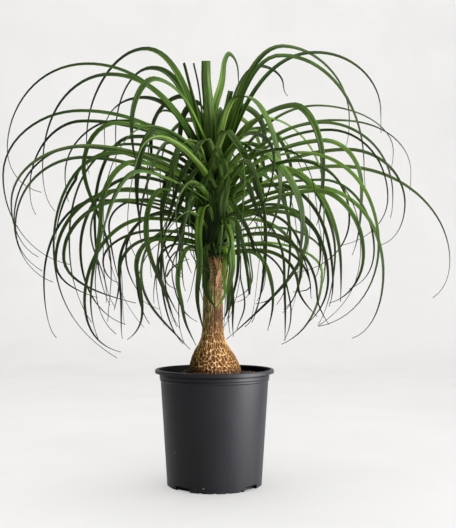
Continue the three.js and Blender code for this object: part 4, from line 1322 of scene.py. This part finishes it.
def leaf_path(leaf, steps):
    """The leaf's path in its own upright plane, as evenly spaced points of reach and height."""
    root = leaf["root"]
    inner = crown_radius(root) - ROOT_DEPTH
    if "lean" in leaf:
        curves = [[Vector((max(NEAREST_ROOT, inner), root)), Vector(leaf["lean"]), Vector(leaf["tip"])]]
    else:
        start = Vector((inner, root))
        top, side, end = (Vector(leaf[name]) for name in ("apex", "shoulder", "tip"))
        turn_up = Vector((mix(start.x, top.x, TURN_UP), top.y))
        over = Vector((mix(top.x, side.x, BOW), top.y))
        down = Vector((side.x, mix(side.y, top.y, BOW)))
        plumb = Vector((side.x, mix(side.y, end.y, HANG)))
        straight = Vector((mix(side.x, end.x, STRAIGHT_HANG[0]), mix(side.y, end.y, STRAIGHT_HANG[1])))
        hooked = Vector((mix(side.x, end.x, HOOKED_HANG[0]), mix(side.y, end.y, HOOKED_HANG[1])))
        bends = [Vector(bend) for bend in leaf.get("bends", [])]
        hanging = bends or [plumb, straight.lerp(hooked, leaf["hook"])]
        curves = [[start, turn_up, top], [top, over, down, side], [side, *hanging, end]]
    points = [curves[0][0]]
    for curve in curves:
        points += [bezier(curve, i / CURVE_STEPS) for i in range(1, CURVE_STEPS + 1)]
    lengths = [0]
    for a, b in zip(points, points[1:]):
        lengths.append(lengths[-1] + (b - a).length)
    path = []
    j = 0
    for i in range(steps + 1):
        wanted = lengths[-1] * i / steps
        while j < len(points) - 2 and lengths[j + 1] < wanted:
            j += 1
        path.append(points[j].lerp(points[j + 1], (wanted - lengths[j]) / (lengths[j + 1] - lengths[j])))
    return path, lengths[-1]


def leaf_width(leaf, share, length):
    """A broad base, more so on a high leaf, then a taper to a thread that sets in earlier on a long leaf."""
    flare = mix(LOW_FLARE, HIGH_FLARE, smooth(*FLARE_ROOTS, leaf["root"]))
    long_leaf = smooth(*LONG_LEAF, length)
    reach, fall = within(TAPER_REACH, long_leaf), within(TAPER_FALL, long_leaf)
    if leaf.get("blunt"):
        reach, fall = BLUNT_TAPER
    taper = (1 - share**reach) ** fall
    return max(LEAF_THREAD, leaf["width"] * mix(flare, 1, smooth(0, FLARE_END, share)) * taper)


def add_leaf(bm, blade_map, tone_layer, leaf):
    """A thin channelled blade along its path: a grid whose rows follow the path and whose columns cross it.

    Its map runs from 0 at the base to 1 at a dry tip. A cut or blunt leaf has no dry tip, so its map ends
    halfway.
    """
    cut_tip = "lean" in leaf and not leaf.get("pointed")
    steps = SHORT_STEPS if leaf.get("level", 1) < LOW_SHARE or cut_tip else LEAF_STEPS
    flat, length = leaf_path(leaf, steps)
    azimuth = math.radians(leaf["azimuth"])
    outward = Vector((math.cos(azimuth), math.sin(azimuth), 0))
    sideways = Vector((-outward.y, outward.x, 0))
    spine = []
    for i, point in enumerate(flat):
        share = i / steps
        wave = noise.noise(Vector((share * DRIFT_WAVES, leaf["azimuth"], leaf["root"])))
        drift = wave * DRIFT * smooth(*DRIFT_SETS_IN, share)
        aside = bezier(leaf.get("sway", (0, 0)), share) + drift
        spine.append(outward * point.x + sideways * aside + Vector((0, 0, point.y)))
    rows = []
    for i, point in enumerate(spine):
        share = i / steps
        along = (spine[min(i + 1, steps)] - spine[max(i - 1, 0)]).normalized()
        level = (sideways - along * sideways.dot(along)).normalized()
        roll = math.radians(leaf["roll"][0] + leaf["roll"][1] * share)
        across = Matrix.Rotation(roll, 3, along) @ level
        upper = along.cross(across)
        if cut_tip:
            half = leaf["width"] / 2 * (1 - CUT_TAPER * share)
        else:
            half = leaf_width(leaf, share, length) / 2
        channel = mix(BASE_CHANNEL, CHANNEL, smooth(0, BASE_CHANNEL_END, share))
        rows.append((point, across * half, upper * half * channel))
    grid = bmesh.ops.create_grid(bm, x_segments=LEAF_ACROSS, y_segments=steps, size=1, calc_uvs=True)
    blade = grid["verts"]
    if cut_tip or leaf.get("blunt"):
        for loop in {loop for vert in blade for loop in vert.link_loops}:
            loop[blade_map].uv.y *= UNWORN_MAP
    for vert in blade:
        point, across, upper = rows[round((vert.co.y + 1) / 2 * steps)]
        edge = vert.co.x
        vert.co = point - across * edge + upper * abs(edge) ** EDGE_CURL
        vert[tone_layer] = leaf["tone"]


def make_leaves(name, leaves, materials, *nodes):
    """Leaves in one piece, whose Solidify modifier gives the blades their thickness and their under side."""
    bm = bmesh.new()
    blade_map = bm.loops.layers.uv.new("blade")
    tone_layer = bm.verts.layers.float.new("tone")
    for leaf in leaves:
        add_leaf(bm, blade_map, tone_layer, leaf)
    piece = finish_piece(name, bm, materials, "leaf", *nodes)
    body = piece.modifiers.new("blade thickness", "SOLIDIFY")
    body.thickness = LEAF_THICKNESS * MM
    body.offset = -1
    body.use_even_offset = False
    body.material_offset = 1
    body.material_offset_rim = 0
    return piece


def make_crown():
    """All the leaves in four pieces, the bases that they grow from and the dry sheaths below."""
    draw = make_draw(RULE_SEED)
    arching = [{"roll": roll_draw(draw), **leaf} for leaf in ARCHES + SPEARS]
    ruled = [rule_leaf(order, RULE_LEAVES, draw) for order in range(RULE_LEAVES)]
    filling = make_draw(FILL_SEED)
    ruled += [fill_leaf(order, filling) for order in range(FILL_LEAVES)]
    upper_side = waxy_leaf(
        "waxy_leaf_upper_side",
        deep_shades=[(0.0, "#34481a"), (0.07, "#4a7023"), (0.18, "#466a25"), (0.4, "#344d22"),
                     (0.7, "#212b19"), (0.92, "#16190d"), (1.0, "#2c2818")],
        fresh_shades=[(0.0, "#587422"), (0.07, "#80aa34"), (0.18, "#90b24a"), (0.4, "#7ea04a"),
                      (0.7, "#5b733c"), (0.92, "#2b3519"), (1.0, "#4a3f28")],
        roughness=0.52,
    )
    under_side = waxy_leaf(
        "waxy_leaf_under_side",
        deep_shades=[(0.0, "#34451c"), (0.07, "#4a6a28"), (0.18, "#4a692c"), (0.4, "#3c5428"),
                     (0.7, "#2b361e"), (0.92, "#1c2013"), (1.0, "#2c2818")],
        fresh_shades=[(0.0, "#5c7430"), (0.07, "#82a040"), (0.18, "#94ac5c"), (0.4, "#839a54"),
                      (0.7, "#5f7042"), (0.92, "#333d20"), (1.0, "#4a3f28")],
        roughness=0.6,
    )
    blades = [upper_side, under_side]
    tones = random.Random(TONE_SEED)
    for leaf in arching + ruled:
        leaf["tone"] = leaf.get("tone", FRESHEST_TONE * tones.random() ** TONE_POWER)
        leaf["hook"] = tones.uniform(*HOOKS)
    low = [leaf for leaf in ruled if leaf["level"] < LOW_SHARE]
    middle = [leaf for leaf in ruled if LOW_SHARE <= leaf["level"] < HIGH_SHARE]
    high = [leaf for leaf in ruled if leaf["level"] >= HIGH_SHARE]
    make_leaves("arching_leaves", arching, blades, "leaf_crown")
    make_leaves("lower_leaves", low, blades, "leaf_crown")
    make_leaves("middle_leaves", middle, blades, "leaf_crown")
    make_leaves("upper_leaves", high, blades, "leaf_crown")
    make_leaf_bases()
    make_dry_sheaths(tones)


def make_dry_sheaths(draw):
    """Papery remains of old leaves, which hug the trunk below the crown."""
    bm = bmesh.new()
    blade_map = bm.loops.layers.uv.new("blade")
    tone_layer = bm.verts.layers.float.new("tone")
    for order in range(SHEATHS):
        reach = draw.uniform(*SHEATH["reach"])
        sheath = {
            "azimuth": (360 / SHEATHS * order + draw.uniform(*SHEATH["azimuth"])) % 360,
            "root": CROWN_BASE + draw.uniform(*SHEATH["root"]),
            "lean": (reach + SHEATH_BOW, CROWN_BASE - draw.uniform(*SHEATH["lean"])),
            "tip": (reach, CROWN_BASE - draw.uniform(*SHEATH["tip"])),
            "width": draw.uniform(*SHEATH["width"]),
            "roll": (0, draw.uniform(*SHEATH["roll"])),
            "sway": (0, draw.uniform(*SHEATH["sway"])),
            "tone": draw.random(),
            "pointed": True,
        }
        add_leaf(bm, blade_map, tone_layer, sheath)
    piece = finish_piece("dry_sheaths", bm, [dry_sheath()], "leaf")
    body = piece.modifiers.new("sheath thickness", "SOLIDIFY")
    body.thickness = SHEATH_THICKNESS * MM
    body.offset = 0


def make_leaf_bases():
    """The core of packed leaf bases that the blades grow out of, folded like a closed fan."""
    bm = bmesh.new()
    top = CROWN_RADII[-1][0]
    heights = [CROWN_BASE + top * i / CORE_ROWS for i in range(CORE_ROWS + 1)]
    profile = [(0, CROWN_BASE)] + [(crown_radius(height) - CORE_INSET, height) for height in heights]
    profile += [(0, CROWN_BASE + top)]
    spin_profile(bm, profile, CORE_STEPS)
    for vert in bm.verts:
        radius = math.hypot(vert.co.x, vert.co.y)
        if radius > BY:
            angle = math.atan2(vert.co.y, vert.co.x)
            fold = abs(math.sin(FOLDS["around"] * angle + vert.co.z / FOLDS["pitch"]))
            fold *= abs(math.cos(CROSS_FOLDS["around"] * angle - vert.co.z / CROSS_FOLDS["pitch"]))
            pull_in(vert, (radius - FOLD_DEPTH * (1 - fold)) / radius)
    finish_piece("leaf_bases", bm, [shaded_packed_bases()], "leaf", "leaf_crown")


# The stage, the lights and the camera, in metres, watts and degrees
WORLD_STRENGTH = 0.23
CROWN_MIDDLE = (0, 0, 0.45)
KEY = {"place": (1.55, -0.85, 0.85), "target": CROWN_MIDDLE, "size": (1.2, 1.6), "power": 85}
CEILING = {"place": (0.4, 0.6, 5), "target": CROWN_MIDDLE, "size": (9, 9), "power": 225}
WASH = {"place": (0, -4, 2.2), "target": (0, 4.2, 0.6), "size": (12, 2), "power": 325}
STRIP = {"place": (1.25, -0.35, 0.4), "target": (0, 0, 0.12), "size": (0.9, 0.9), "power": 40}
LENS = 56.1
SENSOR_WIDTH = 36
CAMERA_PLACE = (0, -1.637, 0.360)
TILT_UP = 2.53
TURN_RIGHT = 0.93


def make_stage():
    """A pale floor that sweeps up behind the plant."""
    floor_front = -9
    floor_back = 2.6
    bend = 1.6
    bend_steps = 24
    wall_top = 7
    half_width = 9
    bm = bmesh.new()
    start = bm.verts.new((-half_width, floor_front, 0))
    edge_end = bm.verts.new((-half_width, floor_back, 0))
    edges = [bm.edges.new((start, edge_end))]
    middle = (-half_width, floor_back, bend)
    curve = bmesh.ops.spin(
        bm, geom=[edge_end], cent=middle, axis=(1, 0, 0), angle=math.pi / 2, steps=bend_steps
    )
    last = [item for item in curve["geom_last"] if isinstance(item, bmesh.types.BMVert)][0]
    top = bm.verts.new((-half_width, last.co.y, wall_top))
    bm.edges.new((last, top))
    swept = bmesh.ops.extrude_edge_only(bm, edges=bm.edges[:])
    moved = [item for item in swept["geom"] if isinstance(item, bmesh.types.BMVert)]
    bmesh.ops.translate(bm, vec=(2 * half_width, 0, 0), verts=moved)
    bmesh.ops.recalc_face_normals(bm, faces=bm.faces)
    mesh = bpy.data.meshes.new("backdrop")
    bm.to_mesh(mesh)
    bm.free()
    mesh.shade_smooth()
    mesh.materials.append(backdrop_paper())
    backdrop = bpy.data.objects.new("backdrop", mesh)
    bpy.context.scene.collection.objects.link(backdrop)
    backdrop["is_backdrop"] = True
    return backdrop


def add_softbox(name, place, target, size, power):
    """A softbox that faces its target."""
    light = bpy.data.lights.new(name, "AREA")
    light.shape = "RECTANGLE"
    light.size, light.size_y = size
    light.energy = power
    lamp = bpy.data.objects.new(name, light)
    lamp.location = place
    lamp.rotation_euler = (Vector(target) - Vector(place)).to_track_quat("-Z", "Y").to_euler()
    bpy.context.scene.collection.objects.link(lamp)
    return lamp


def link_light(lamp, name, lit_objects):
    """Lets a lamp light these objects alone, which alone cast its shadows."""
    lit = bpy.data.collections.new(name)
    for lit_object in lit_objects:
        lit.objects.link(lit_object)
    lamp.light_linking.receiver_collection = lit
    lamp.light_linking.blocker_collection = lit


def make_light(backdrop):
    """White surroundings, a tall softbox at the right, a soft top light, and a wash for the backdrop alone.

    A low softbox at the right lights the pot alone, for the sheen along its side.
    """
    world = bpy.data.worlds.new("studio")
    world.use_nodes = True
    surroundings = world.node_tree.nodes["Background"]
    surroundings.inputs["Color"].default_value = colour("#ffffff")
    surroundings.inputs["Strength"].default_value = WORLD_STRENGTH
    bpy.context.scene.world = world
    key = add_softbox("key_softbox", **KEY)
    add_softbox("ceiling_softbox", **CEILING)
    wash = add_softbox("backdrop_wash", **WASH)
    strip = add_softbox("strip_softbox", **STRIP)
    link_light(key, "lit by the key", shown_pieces())
    link_light(strip, "lit by the strip", [bpy.data.objects["pot_shell"]])
    link_light(wash, "lit by the wash", [backdrop])
    bpy.context.scene.view_settings.view_transform = "Standard"


def make_camera():
    """The camera that takes the plant from the front, a little below its middle."""
    data = bpy.data.cameras.new("camera")
    data.lens = LENS
    data.sensor_width = SENSOR_WIDTH
    camera = bpy.data.objects.new("camera", data)
    camera.location = CAMERA_PLACE
    camera.rotation_euler = (math.radians(90 + TILT_UP), 0, math.radians(-TURN_RIGHT))
    bpy.context.scene.collection.objects.link(camera)
    bpy.context.scene.camera = camera


make_camera()
backdrop = make_stage()
make_pot()
mouth, edge = make_soil()
noise.seed_set(NOISE_SEED)
grains = random.Random(GRAIN_SEED)
bark = composted_bark()
scatter_grains("peat_crumbs", bark, PEAT_CRUMBS, grains, mouth, edge)
scatter_grains("bark_chips", bark, BARK_CHIPS, grains, mouth, edge)
scatter_grains("perlite_grains", expanded_perlite(), PERLITE_GRAINS, grains, mouth, edge)
make_trunk()
make_crown()
make_light(backdrop)
